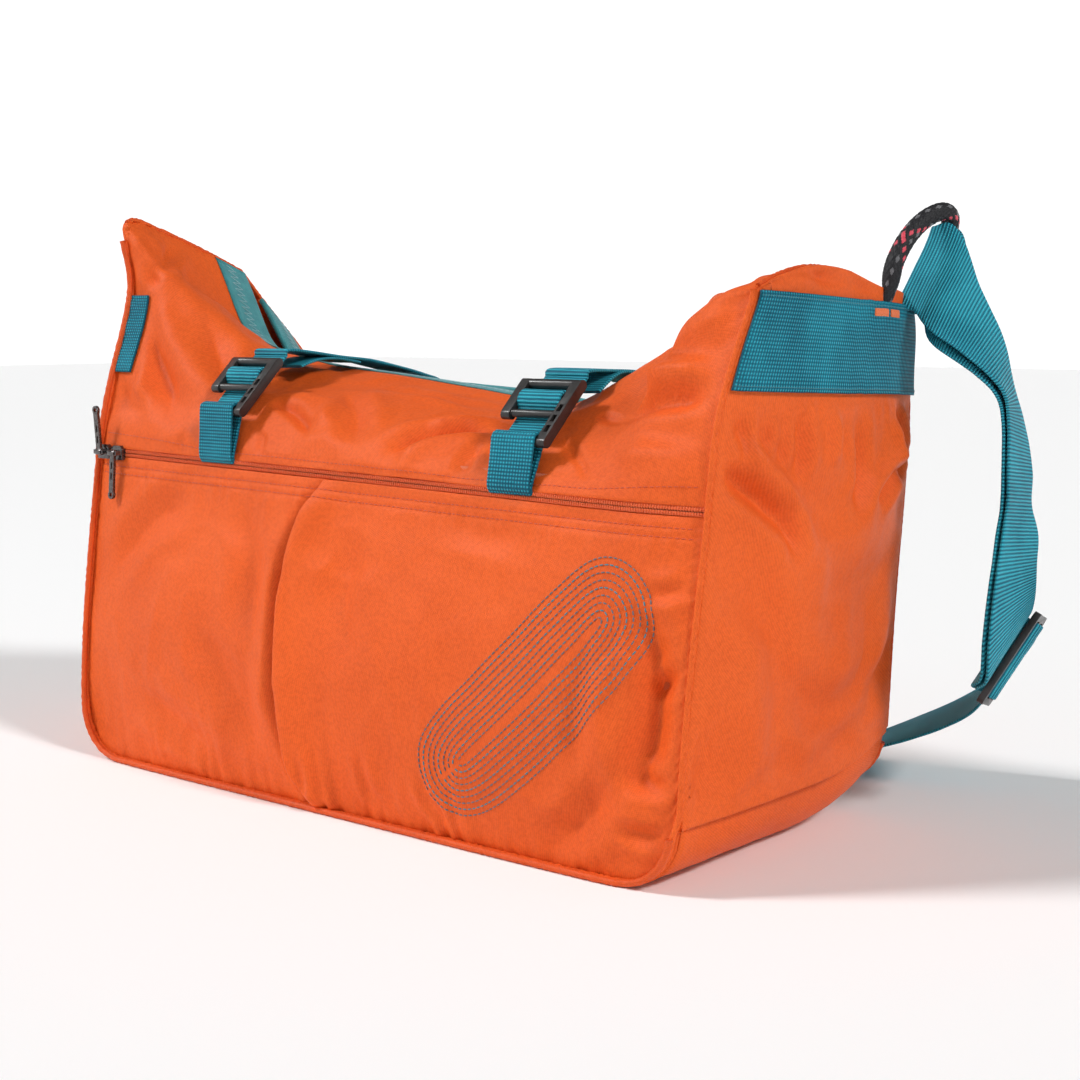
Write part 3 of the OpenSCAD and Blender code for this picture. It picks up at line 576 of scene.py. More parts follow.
def nylon(name, col, dark, angle=18.0, rough=0.52):
    """Coated nylon: a fine twill, faint colour drift, small handling creases, satin sheen."""
    n = Nodes(name)
    uv, ob = n.uvmm(angle), n.obj()
    tw = n.wave(uv, 1.25, "X", 1.6, 0.8)
    cr = n.wave(uv, 0.95, "Y", 1.2, 0.8)
    weave = n.math("MULTIPLY", n.math("ADD", n.math("MULTIPLY", tw, 0.65), n.math("MULTIPLY", cr, 0.35)), 1.0)
    cloud = n.noise(ob, 9.0, 4.0, 0.55)
    fine = n.noise(ob, 900.0, 2.0, 0.6)
    grain = n.noise(ob, 520.0, 3.0, 0.7)
    # The colour darkens in the troughs of the twill: painted shade of the weave; the cloud and grain add tone that
    # differs at random.
    f = n.math("ADD", n.maprange(cloud, 0.35, 0.65, 0.0, 0.35), n.math("MULTIPLY", n.math("SUBTRACT", 1.0, weave), 0.50), True)
    f = n.math("ADD", f, n.maprange(grain, 0.42, 0.62, -0.16, 0.26), True)
    color = n.mix(f, col, dark)
    rg = n.maprange(n.math("ADD", n.math("MULTIPLY", cloud, 0.5), n.math("MULTIPLY", fine, 0.5)), 0.3, 0.7, rough - 0.05, rough + 0.09)
    small = n.noise(ob, 60.0, 5.0, 0.62, 0.6)
    nm = n.bump(small, 0.0011, 0.35)
    nm = n.bump(n.math("ADD", weave, n.math("MULTIPLY", grain, 0.9)), 0.00016, 0.75, nm)
    n.set(spec=0.22, sheen=0.02, sheen_rough=0.35)
    n.bsdf.inputs["Sheen Tint"].default_value = (1.0, 0.72, 0.55, 1)
    return n.out(color, rg, nm)


def webbing(name, col, dark, rib=1.55, across=1.5, grid=0.5, rough=0.55):
    """Woven strap: ribs across it, warp ends along it. UV is millimetres across and along."""
    n = Nodes(name)
    uv, ob = n.uvmm(), n.obj()
    a = n.wave(uv, across, "X", 0.25, 1.0)
    b = n.wave(uv, rib, "Y", 0.25, 1.0)
    cell = n.math("ADD", n.math("MULTIPLY", b, 1 - grid), n.math("MULTIPLY", n.math("MULTIPLY", a, b), grid), True)
    fz = n.noise(ob, 2200.0, 2.0, 0.6)
    cloud = n.noise(ob, 30.0, 3.0, 0.5)
    # The colour is lightest on the tops of the ribs and darkest in the grooves between them: painted highlight and
    # painted shade of the weave; the cloud adds tone that drifts at random.
    f = n.math("ADD", n.math("MULTIPLY", n.math("SUBTRACT", 1.0, cell), 0.92), n.maprange(cloud, 0.35, 0.7, 0.0, 0.22), True)
    color = n.mix(f, col, dark)
    nm = n.bump(n.math("ADD", cell, n.math("MULTIPLY", fz, 0.22)), 0.0007, 1.0)
    n.set(rough=rough, spec=0.16, sheen=0.02, sheen_rough=0.45)
    n.bsdf.inputs["Sheen Tint"].default_value = (0.6, 0.85, 0.95, 1)
    return n.out(color, None, nm)


def tape(name, col, dark, period=0.9):
    n = Nodes(name)
    uv, ob = n.uvmm(35), n.obj()
    w = n.wave(uv, period, "X", 1.5, 1.0)
    fz = n.noise(ob, 700.0, 4.0, 0.7)
    cloud = n.noise(ob, 120.0, 4.0, 0.7)
    f = n.math("ADD", n.math("MULTIPLY", n.math("SUBTRACT", 1.0, w), 0.45), n.maprange(cloud, 0.35, 0.65, 0.0, 0.55), True)
    nm = n.bump(n.math("ADD", w, n.math("MULTIPLY", fz, 0.8)), 0.0002, 0.6)
    n.set(rough=0.72, spec=0.3, sheen=0.35, sheen_rough=0.5)
    return n.out(n.mix(f, col, dark), None, nm)


def thread(name, col, dark):
    n = Nodes(name)
    ob = n.obj()
    w = n.wave(ob, 0.0011, "DIAGONAL", 0.5, 2.0)
    fz = n.noise(ob, 1500.0, 2.0)
    nm = n.bump(n.math("ADD", w, fz), 0.00008, 0.6)
    n.set(rough=0.5, spec=0.4, sheen=0.2)
    return n.out(n.mix(n.math("MULTIPLY", fz, 0.7), col, dark), None, nm)


def plastic(name):
    n = Nodes(name)
    ob = n.obj()
    gr = n.noise(ob, 2600.0, 3.0, 0.6)
    big = n.noise(ob, 90.0, 4.0, 0.6)
    rg = n.maprange(n.math("ADD", n.math("MULTIPLY", big, 0.6), n.math("MULTIPLY", gr, 0.4)), 0.3, 0.7, 0.26, 0.44)
    nm = n.bump(gr, 0.00006, 0.45)
    n.set(spec=0.5)
    return n.out(n.mix(n.maprange(big, 0.4, 0.7, 0, 1), (0.016, 0.014, 0.014), (0.03, 0.027, 0.026)), rg, nm)


def gunmetal(name):
    n = Nodes(name)
    ob = n.obj()
    s = n.noise(ob, 700.0, 4.0, 0.6)
    rg = n.maprange(s, 0.3, 0.7, 0.16, 0.36)
    n.set(metal=0.9, spec=0.5)
    return n.out(n.mix(n.maprange(s, 0.4, 0.7, 0, 1), (0.10, 0.09, 0.09), (0.17, 0.155, 0.15)), rg, n.bump(s, 0.00004, 0.5))


# ORANGE_D is the darker tone of the colour drift and grain, and also the painted shade in the twill's troughs.
ORANGE, ORANGE_D = (0.85, 0.130, 0.017), (0.64, 0.080, 0.008)
M_NYLON = nylon("nylon_face", ORANGE, ORANGE_D)
M_NYLON_G = nylon("nylon_gusset", (0.85, 0.134, 0.018), (0.65, 0.084, 0.009), angle=-32.0)
M_LINING = nylon("nylon_lining", (0.62, 0.10, 0.022), (0.48, 0.07, 0.014), angle=60, rough=0.55)
M_PIPE = nylon("piping_cloth", (0.76, 0.105, 0.017), (0.58, 0.07, 0.009), angle=45, rough=0.45)
# For each webbing the first colour is the painted highlight on the ribs and the second the painted shade in the grooves
# of the weave.
M_WEB = webbing("strap_webbing_ribbed", (0.050, 0.56, 0.70), (0.005, 0.10, 0.16), rib=2.0, across=1.3, grid=0.3)
M_BAND = webbing("band_webbing_grid", (0.038, 0.52, 0.68), (0.002, 0.085, 0.135), rib=2.0, across=2.0, grid=0.85)
M_BIND = tape("binding_tape", (0.06, 0.34, 0.36), (0.025, 0.20, 0.23), 1.1)
M_ZTAPE = tape("zip_tape", (0.86, 0.16, 0.035), (0.62, 0.09, 0.018), 0.8)
M_COIL = thread("zip_coil_plastic", (0.88, 0.15, 0.03), (0.66, 0.09, 0.015))
M_THREAD = thread("thread_orange", (0.88, 0.20, 0.05), (0.62, 0.10, 0.02))
M_THREAD_D = thread("thread_rust", (0.64, 0.080, 0.012), (0.46, 0.05, 0.008))
M_THREAD_G = thread("thread_grey", (0.16, 0.17, 0.18), (0.07, 0.08, 0.09))
M_THREAD_T = thread("thread_teal", (0.04, 0.25, 0.31), (0.02, 0.14, 0.18))
M_THREAD_W = thread("thread_pale", (0.40, 0.62, 0.66), (0.22, 0.42, 0.46))
M_PLASTIC = plastic("buckle_acetal")
M_METAL = gunmetal("gunmetal_plating")


# ------------------------------------------------------------------ cloth panels
def tuck(P, N, sides, depth=6.0, steps=3, r=2.2):
    """Rolls the named edges of a grid inward, as a seam allowance does."""
    for side in sides:
        if side in ("u0", "u1"):
            Q, M = (P, N) if side == "u1" else (P[::-1], N[::-1])
            out = (Q[-1] - Q[-2])
            out /= np.linalg.norm(out, axis=-1, keepdims=True)
            new, nn = [], []
            for k in range(1, steps + 1):
                a = k / steps * math.pi / 2
                new.append(Q[-1] + out * r * math.sin(a) * 0.6 - M[-1] * r * (1 - math.cos(a)))
                nn.append(M[-1] * math.cos(a) + out * math.sin(a))
            new.append(new[-1] - M[-1] * depth)
            nn.append(out)
            P2 = np.concatenate([Q, np.stack(new)])
            N2 = np.concatenate([M, np.stack(nn)])
            P, N = (P2, N2) if side == "u1" else (P2[::-1], N2[::-1])
        else:
            Pt, Nt = tuck(P.transpose(1, 0, 2), N.transpose(1, 0, 2), ["u0" if side == "v0" else "u1"], depth, steps, r)
            P, N = Pt.transpose(1, 0, 2), Nt.transpose(1, 0, 2)
    return P, N


def at(P, u, v):
    """Bilinear point of a grid at u, v from 0 to 1 (arrays)."""
    n, m = P.shape[:2]
    a, b = np.clip(np.asarray(u, float), 0, 1) * (n - 1), np.clip(np.asarray(v, float), 0, 1) * (m - 1)
    i, j = np.minimum(a.astype(int), n - 2), np.minimum(b.astype(int), m - 2)
    f, g = (a - i)[..., None], (b - j)[..., None]
    return (P[i, j] * (1 - f) + P[i + 1, j] * f) * (1 - g) + (P[i, j + 1] * (1 - f) + P[i + 1, j + 1] * f) * g


def smooth_step(x, a, b):
    t = np.clip((x - a) / (b - a), 0, 1)
    return t * t * (3 - 2 * t)


def relax_cloth(P, pin, excess=0.02, frames=18, cap=9.0, pressure=0.6, N=None):
    """Drapes a grid as cloth held along its pinned points: it is cut a little larger than its space, so it buckles into
    natural folds. pin is 0 to 1 per point. Returns the new grid."""
    n, m = P.shape[:2]
    me = bpy.data.meshes.new("sim")
    me.from_pydata((P.reshape(-1, 3) / 1000.0).tolist(), [], grid_faces(n, m).tolist())
    ob = link(bpy.data.objects.new("sim", me))
    vg = ob.vertex_groups.new(name="pin")
    pw = pin.ravel()
    for i in np.nonzero(pw > 0.001)[0]:
        vg.add([int(i)], float(pw[i]), "REPLACE")
    mod = ob.modifiers.new("cloth", "CLOTH")
    s = mod.settings
    s.quality = 6
    s.mass = 0.08
    s.air_damping = 2.0
    s.tension_stiffness = 25
    s.compression_stiffness = 25
    s.shear_stiffness = 8
    s.bending_stiffness = 0.12
    s.tension_damping = 8
    s.compression_damping = 8
    s.shear_damping = 8
    s.bending_damping = 0.6
    s.vertex_group_mass = "pin"
    s.pin_stiffness = 1.0
    s.shrink_min = -excess
    s.effector_weights.gravity = 0.15
    s.use_pressure = pressure != 0
    s.uniform_pressure_force = pressure
    mod.collision_settings.use_collision = False
    mod.collision_settings.use_self_collision = False
    mod.point_cache.frame_start = 1
    mod.point_cache.frame_end = frames
    for f in range(1, frames + 1):
        scene.frame_set(f)
    dg = bpy.context.evaluated_depsgraph_get()
    ev = ob.evaluated_get(dg).to_mesh()
    co = np.zeros(n * m * 3)
    ev.vertices.foreach_get("co", co)
    scene.frame_set(1)
    bpy.data.objects.remove(ob)
    Q = co.reshape(n, m, 3) * 1000.0
    d = Q - P
    L = np.linalg.norm(d, axis=-1, keepdims=True)
    return P + d * np.minimum(1.0, cap / np.maximum(L, 1e-6))


def blur(A, sigma):
    r = int(3 * sigma) + 1
    k = np.exp(-0.5 * (np.arange(-r, r + 1) / sigma) ** 2)
    k /= k.sum()
    for ax in (0, 1):
        B = np.pad(A, [(r, r) if i == ax else (0, 0) for i in (0, 1)], mode="edge")
        A = sum(k[j] * np.take(B, range(j, j + A.shape[ax]), axis=ax) for j in range(2 * r + 1))
    return A


def sim_folds(P, N, size, excess=0.03, frames=14, scale=1.0, seed=3):
    """Folds from a cloth simulation: the panel is cut a little larger than its frame, sewn down along its edges and let go,
    and the folds it falls into are read off as a height over the grid, in mm."""
    sub = (P + N * (0.9 * noise3(P, 34, seed) + 0.5 * noise3(P, 15, seed + 1))[..., None])[::2, ::2]
    a, b = np.linspace(0, 1, sub.shape[0])[:, None], np.linspace(0, 1, sub.shape[1])[None]
    pin = np.clip(np.maximum(1 - np.minimum(a, 1 - a) / 0.02, 1 - np.minimum(b, 1 - b) / 0.03), 0, 1)
    Q = relax_cloth(sub, pin, excess=excess, frames=frames, cap=28.0, pressure=0.3)
    h = np.sum((Q - sub) * N[::2, ::2], -1)
    h = blur(h, 1.1) - blur(h, 6.5 * scale)
    h = np.clip(h * (size / max(float(h.std()), 1e-6)), -3.2 * size, 2.6 * size)
    n, m = P.shape[:2]
    U, W = np.meshgrid(np.linspace(0, 1, n), np.linspace(0, 1, m), indexing="ij")
    return blur(at(h[..., None], U, W)[..., 0], 1.1)


# ------------------------------------------------------------------ shoulder strap: a free strap, first
FS, WS = [0.235, 0.13, 0.963], [0.406, 0.341, 0.848]
S_O = [[261.4, 117.2, 312.6], [279.3, 114, 286.9], [294.7, 117, 265.1], [302.6, 119, 247.7], [308.1, 120, 226.9], [311.2, 119, 202.9],
       [312.2, 117, 184.3], [314.8, 114, 167.2], [315.6, 109, 146], [315.2, 106.5, 124], [311, 112, 106], [302.2, 120.5, 100.3], [296.4, 139.2, 95.1]]
S_V = [FS, [-0.05, 0.79, 0.61], [-0.217, 0.935, 0.279], [-0.351, 0.931, 0.089], [-0.257, 0.957, -0.13], [-0.181, 0.977, -0.104], [-0.181, 0.977, -0.104],
       [-0.052, 0.994, -0.096], [-0.004, 0.999, 0.008], [0.079, 0.932, 0.353], [0.18, 0.68, 0.71], [0.36, 0.42, 0.83], WS]
S_N = [[-8.4, 9.8, -1.8], [-5.5, 2.6, -3.9], [-4.3, -0.2, -2.6], [-3.2, -1.1, -1.2], [-2.8, -0.8, -0.5], [-2.8, -0.6, -0.2], [-2.8, -0.5, -0.2],
       [-3, -0.2, -0.2], [-3.1, 0, 0], [-3.3, 0.1, 0.4], [-3.1, -0.6, 1.3], [-2.4, -0.7, 1.4], [-2.1, -0.3, 1.1]]
STRAP_P = np.array([list(np.add(S_O[k], S_N[k])) for k in range(12, 0, -1)]
                   + [[259.3, 130.4, 309], [250.6, 131, 311.9], [246.9, 124.8, 312.2], [249.4, 116.2, 312.9]] + S_O
                   + [[288.7, 162.3, 89.5], [279.4, 180.9, 79.5], [261, 192, 61], [235, 194, 44], [205, 190, 29], [170, 184, 15], [130, 178, 5],
                      [85, 175, 1.8], [25, 174, 1.4], [-45, 174, 1.4], [-110, 172, 1.6], [-170, 167, 4], [-216, 162, 16], [-247, 158, 45],
                      [-261, 157, 95], [-266.5, 157, 150], [-267, 157, 190], [-265.4, 157, 206], [-258, 157, 211.6], [-250.8, 157, 206.5],
                      [-250.8, 157, 192], [-254, 157, 168]], float)
STRAP_V = np.array(S_V[:0:-1] + [FS] * 4 + S_V
                   + [[0.35, 0.55, 0.75], [0.25, 0.75, 0.6], [0.1, 0.88, 0.45], [0.1, 0.92, 0.38], [0.05, 0.97, 0.25], [0, 1, 0.1]]
                   + [[0, 1, 0]] * 16, float)


def strap_mesh(name, C, W, w, t, mats, wave=0.35, seed=3, ortho=False, **kw):
    """A woven strap with rounded edges whose face is not quite flat: it cups and ripples a little."""
    C, W = np.asarray(C, float), np.asarray(W, float)
    T = np.gradient(C, axis=0)
    T /= np.maximum(np.linalg.norm(T, axis=1, keepdims=True), 1e-9)
    if ortho:
        W = W - np.sum(W * T, 1, keepdims=True) * T
    W = W / np.linalg.norm(W, axis=1, keepdims=True)
    N = np.cross(T, W)
    N /= np.linalg.norm(N, axis=1, keepdims=True)
    L = np.concatenate([[0], np.cumsum(np.linalg.norm(np.diff(C, axis=0), axis=1))])
    r = t / 2
    nx = max(9, int(w / 2.2) | 1)
    xs = np.linspace(-w / 2 + r, w / 2 - r, nx)
    prof = [(x, -r) for x in xs] + [(w / 2 - r * 0.3, -r * 0.72), (w / 2, 0), (w / 2 - r * 0.3, r * 0.72)]
    prof += [(x, r) for x in xs[::-1]] + [(-w / 2 + r * 0.3, r * 0.72), (-w / 2, 0), (-w / 2 + r * 0.3, -r * 0.72)]
    prof = np.array(prof)
    base = C[:, None] + prof[None, :, 0:1] * W[:, None]
    off = wave * noise3(base, 26, seed) + 0.4 * wave * noise3(base, 9, seed + 4)
    # edge cords: the selvedge stands slightly proud
    edge = 1 + 0.22 * np.exp(-((np.abs(prof[:, 0]) - (w / 2 - 2.0)) / 1.0) ** 2)
    Rg = base + (prof[None, :, 1:2] * edge[None, :, None] + off[..., None]) * N[:, None]
    V, F, _ = ring_solid(Rg)
    uv = np.stack(np.broadcast_arrays(prof[None, :, 0] + w / 2, L[:, None]), -1).reshape(-1, 2)
    return make(name, V, orient_fast(V, F), mats, uv=uv, **kw)


def orient_fast(V, F):
    V = np.asarray(V)
    q = np.array([f for f in F if len(f) == 4])
    a, b, c, d = V[q[:, 0]], V[q[:, 1]], V[q[:, 2]], V[q[:, 3]]
    vol = np.sum(a * np.cross(b, c)) + np.sum(a * np.cross(c, d))
    return F if vol > 0 else [list(f)[::-1] for f in F]


u_s = np.linspace(0, 50, 401)
strap_c = crv(STRAP_P, u_s / 50)
strap_w = crv(STRAP_V, u_s / 50)
strap = strap_mesh("shoulder_strap_webbing", strap_c, strap_w, 50, 1.7, M_WEB, wave=0.3, replaces=["shoulder_strap"], slot="strap_webbing")
# the lower corner of the fold lies across the end of the band
co = np.zeros(len(strap.data.vertices) * 3)
strap.data.vertices.foreach_get("co", co)
co = co.reshape(-1, 3)
w_ = (1 - smooth_step(co[:, 2] * 1000, 286, 336)) * (1 - smooth_step(co[:, 0] * 1000, 258, 286)) * smooth_step(co[:, 0] * 1000, 100, 200)
w_ = w_ * smooth_step(co[:, 2] * 1000, 255, 275)
co[:, 1] -= 0.017 * w_
co[:, 0] += 0.0015 * w_
strap.data.vertices.foreach_set("co", co.ravel())
strap.data.update()


def cad_copy(name, node, mat, bevel=0.0, segs=2, angle=32, body="bag", subdiv=0):
    """A finer piece made from a hard CAD node: same place, rounded edges, its own material."""
    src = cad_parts[node]
    me = src.data.copy()
    me.name = name
    me.materials.clear()
    me.materials.append(mat)
    ob = link(bpy.data.objects.new(name, me))
    ob.matrix_world = src.matrix_world.copy()
    bm = bmesh.new()
    bm.from_mesh(me)
    bmesh.ops.remove_doubles(bm, verts=bm.verts, dist=1e-6)
    bmesh.ops.dissolve_limit(bm, angle_limit=math.radians(1.0), verts=bm.verts, edges=bm.edges)
    bm.to_mesh(me)
    bm.free()
    if bevel:
        b = ob.modifiers.new("bevel", "BEVEL")
        b.width = bevel / 1000
        b.segments = segs
        b.limit_method = "ANGLE"
        b.angle_limit = math.radians(angle)
        b.harden_normals = False
        b.use_clamp_overlap = True
        dg = bpy.context.evaluated_depsgraph_get()
        me2 = bpy.data.meshes.new_from_object(ob.evaluated_get(dg))
        ob.modifiers.clear()
        ob.data = me2
        me2.name = name
    ob.data.polygons.foreach_set("use_smooth", [True] * len(ob.data.polygons))
    with_sharp(ob.data, 38)
    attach(ob, body)
    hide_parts(node)
    return ob


def with_sharp(me, deg):
    bm = bmesh.new()
    bm.from_mesh(me)
    for e in bm.edges:
        if len(e.link_faces) == 2 and e.calc_face_angle(0) > math.radians(deg):
            e.smooth = False
    bm.to_mesh(me)
    bm.free()


adjuster = cad_copy("strap_adjuster_slide", "strap_adjuster", M_PLASTIC, 0.9, 3, body="adjuster")
adj_m = (Matrix.Rotation(math.radians(40), 3, "Z") @ Matrix.Rotation(math.radians(-58), 3, "Y") @ Matrix.Rotation(math.radians(-25), 3, "X"))
adj_R = np.array(adj_m)
adj_o = np.array([300.0, 140.0, 93.0])


def adj_world(x, y, z):
    return adj_o + adj_R @ np.array([x, y, z])


turn_c = crv(np.array([[0, -7.4, 0.6], [0, -6.2, -1.8], [0, -3.2, -3.5], [0, 0, -3.9], [0, 3.2, -3.5], [0, 6.2, -1.8], [0, 7.4, 0.6]], float), np.linspace(0, 1, 37))
turn_c = turn_c @ adj_R.T + adj_o
turn = strap_mesh("strap_turn_over_bar", turn_c, np.tile(adj_R[:, 0], (37, 1)), 50, 1.6, M_WEB, wave=0.08, body="adjuster", replaces=["adjuster_webbing_turn"], slot="strap_webbing")


# ------------------------------------------------------------------ cloth panels of the body
def unit_n(P, centre=(0, 0, 110)):
    N = grid_normals(P)
    return N if np.mean(np.sum(N * (P - np.array(centre)), -1)) > 0 else -N


def panel(name, P, t, mats, replaces=(), slot="shell_nylon", centre=(0, 0, 110), **kw):
    V, F, uv, _ = shell(P, t, centre)
    return make(name, V, F, mats, uv=uv, replaces=replaces, slot=slot, **kw)


def gathers(s, period, seed=0.0):
    """Uneven small pleats along a seam, s in mm."""
    ph = 2 * np.pi * s / period
    return np.sin(ph + 1.7 * np.sin(ph * 0.31 + seed) + seed) * (0.65 + 0.35 * np.sin(ph * 0.17 + 2 * seed))


# upper front: from the zip over the crest to the rim
nu, nv = 241, 97
ux = np.linspace(-HX, HX, nu)
uw = np.linspace(0, 1, nv)
X, W_ = np.meshgrid(ux, uw, indexing="ij")
front0 = upper(X, W_)
Nf = unit_n(front0, (0, 20, 120))
front_creases = [
    ([[-104, -63, 236], [-88, -63, 234], [-71, -67, 230], [-54, -74, 222], [-43, -81, 211]], 11, -3.4, 0.5, 0.3),
    ([[20, -84, 204], [28, -77, 214], [39, -67, 221], [56, -55, 225], [76, -41, 226]], 12, -4.2, 0.5, 0.3),
    ([[34, -63, 226], [44, -55, 229], [60, -44, 230]], 9, 2.4, 0.7, 0.35),
    ([[140, -42, 232], [160, -52, 237], [184, -59, 241], [214, -65, 246], [238, -64, 251]], 12, -4.4, 0.5, 0.25),
    ([[150, -38, 243], [176, -47, 250], [206, -54, 257], [236, -56, 262]], 13, 3.0, 0.8, 0.3),
    ([[-247, -35, 340], [-238, -41, 326], [-230, -46, 312], [-222, -50, 300]], 9, -3.2, 0.5, 0.25),
    ([[-252, -6, 337], [-238, -28, 326], [-228, -38, 318], [-221, -46, 309]], 9, -3.0, 0.5, 0.25),
    ([[-254, -49, 300], [-236, -55, 286], [-216, -60, 272], [-186, -73, 240], [-171, -82, 213]], 14, -3.6, 0.6, 0.3),
    ([[-199, -32, 298], [-171, -43, 272], [-146, -59, 247], [-130, -74, 222]], 14, -2.6, 0.6, 0.35),
    ([[-66, -33, 245], [-40, -50, 239], [-24, -62, 231], [-8, -77, 214], [-4, -84, 201]], 13, -2.6, 0.6, 0.35),
    ([[150, -58, 226], [172, -66, 228], [200, -70, 230], [236, -70, 232]], 12, -2.8, 0.6, 0.3),
    ([[135, -65, 221], [152, -73, 214], [172, -82, 202]], 10, -2.4, 0.6, 0.35),
    ([[-160, -80, 214], [-150, -82, 204], [-146, -86, 199]], 7, -1.8, 0.6, 0.4),
    ([[-90, -74, 222], [-84, -80, 211], [-82, -86, 200]], 8, -1.8, 0.6, 0.4),
    ([[84, -66, 221], [80, -76, 208], [80, -85, 198]], 8, -2.0, 0.6, 0.4),
    ([[196, -30, 270], [210, -42, 277], [228, -52, 286], [240, -56, 298]], 13, 2.6, 0.8, 0.35),
    ([[205, -8, 284], [222, -25, 296], [238, -40, 306]], 11, -2.6, 0.6, 0.35),
    ([[-235, -58, 262], [-216, -66, 246], [-205, -76, 225]], 12, 2.6, 0.8, 0.35),
    ([[-60, -10, 247], [0, -12, 243], [60, -12, 241]], 10, -1.6, 0.7, 0.35),
]
hem = np.clip(W_ / 0.05, 0, 1)
rim = np.clip((1 - W_ - 0.11) / 0.12, 0, 1)
ends = np.clip((HX - np.abs(X)) / 16, 0, 1)
ease = smooth_step(hem, 0, 1) * smooth_step(rim, 0, 1) * (0.25 + 0.75 * smooth_step(ends, 0, 1))
d = np.zeros_like(X)
for c in front_creases:
    d += crease(front0, *c)
d = 1.95 * d + 2.0 * noise3(front0, 44, 5) + 0.9 * noise3(front0, 19, 6) + 0.2 * noise3(front0, 8, 7) + 0.5 * crumple(front0, 18, 9) - 0.6
d += sim_folds(front0 + Nf * d[..., None], Nf, 1.5, seed=8)
turned = smooth_step(-X, HX - 34, HX - 21) * smooth_step(front0[..., 2], 236, 248) * (1 - smooth_step(front0[..., 2], 303, 312))
d = d * (1 - 0.95 * turned)
# no fold stands up under the buckles or in their way as they slide out of their loops
for bx in (-119, 119):
    m_ = smooth_step(X, bx - 34, bx - 19) * (1 - smooth_step(X, bx + 60, bx + 78)) * (1 - smooth_step(W_, 0.60, 0.78))
    d = d * (1 - m_) + np.minimum(d, -0.7) * m_
# the wavy lip that stands over the zip, and the pull of the two buckle loops
lip = np.exp(-((W_ * 62 - 3.2) / 3.2) ** 2)
d = d * ease + lip * (1.7 + 0.8 * gathers(X, 46, 0.4)) * np.clip((HX - np.abs(X)) / 20, 0, 1)
for bx in (-119, 119):
    d -= 2.2 * np.exp(-((X - bx) / 20) ** 2 - ((W_ - 0.05) / 0.16) ** 2)
# puckers along the end seams
d += 0.55 * gathers(W_ * 190, 9.5, 1.1) * np.exp(-(HX - np.abs(X)) / 9) * smooth_step(hem, 0, 1)
front1 = front0 + Nf * d[..., None]
frontT, _ = tuck(front1, Nf, ["u0", "u1"], 5, 3, 1.2)
frontT, _ = tuck(frontT, unit_n(frontT, (0, 20, 120)), ["v0"], 3, 2, 0.8)
panel("upper_front_cloth", frontT, 1.6, M_NYLON, replaces=["front_panel"], centre=(0, 20, 120))

# back panel
bx_, bw = np.linspace(-HX, HX, 201), np.linspace(0, 1, 121)
X, W_ = np.meshgrid(bx_, bw, indexing="ij")
back0 = back(X, W_)
Nb = unit_n(back0)
back_creases = [
    ([[-150, 110, 60], [-90, 116, 120], [-70, 119, 180], [-90, 117, 212]], 18, -4.0, 0.6, 0.3),
    ([[140, 110, 50], [110, 116, 110], [120, 120, 170], [160, 118, 220]], 18, -4.0, 0.6, 0.3),
    ([[-220, 108, 90], [-180, 116, 130], [-160, 119, 190]], 14, -3.0, 0.6, 0.3),
    ([[215, 108, 90], [180, 116, 140], [185, 119, 200], [210, 114, 250]], 14, -3.0, 0.6, 0.3),
    ([[-30, 108, 40], [10, 116, 100], [0, 120, 165]], 18, 3.0, 0.9, 0.35),
    ([[-200, 112, 215], [-120, 110, 222], [-40, 108, 219]], 12, -2.8, 0.6, 0.3),
    ([[40, 108, 217], [120, 110, 222], [190, 112, 236]], 12, -2.8, 0.6, 0.3),
    ([[60, 112, 70], [40, 118, 130], [70, 119, 190]], 14, -2.6, 0.6, 0.3),
]
d = np.zeros_like(X)
for c in back_creases:
    d += crease(back0, *c)
d = 1.8 * d + 2.2 * noise3(back0, 55, 15) + 0.9 * noise3(back0, 21, 16) + 0.2 * noise3(back0, 8, 17) + 0.5 * crumple(back0, 19, 19) - 0.5
d += sim_folds(back0 + Nb * d[..., None], Nb, 1.4, seed=18)
ease = smooth_step(np.clip(W_ / 0.05, 0, 1), 0, 1) * smooth_step(1 - W_, 0.085, 0.20) * (0.2 + 0.8 * smooth_step(np.clip((HX - np.abs(X)) / 16, 0, 1), 0, 1))
d = d * ease
d += 0.7 * gathers(X, 11, 0.7) * np.exp(-(W_ * 190) / 8) * np.clip((HX - np.abs(X)) / 20, 0, 1)
d += 0.55 * gathers(W_ * 260, 9.5, 2.1) * np.exp(-(HX - np.abs(X)) / 9) * smooth_step(np.clip(W_ / 0.05, 0, 1), 0, 1)
back1 = back0 + Nb * d[..., None]
backT, _ = tuck(back1, Nb, ["u0", "u1"], 5, 3, 1.2)
panel("back_cloth", backT, 1.6, M_NYLON_G, replaces=["back_panel"])

# front pocket: two halves that meet in a rolled pleat
PLEAT = np.array([[-10, 0.0], [-25.9, 0.115], [-33.5, 0.275], [-37.6, 0.47], [-39.6, 0.63], [-36.7, 0.79], [-30.7, 0.90], [-22.5, 1.0]])


def pleat_x(v):
    return np.interp(v, PLEAT[:, 1], PLEAT[:, 0]) if np.ndim(v) == 0 else np.interp(np.asarray(v).ravel(), PLEAT[:, 1], PLEAT[:, 0]).reshape(np.shape(v))


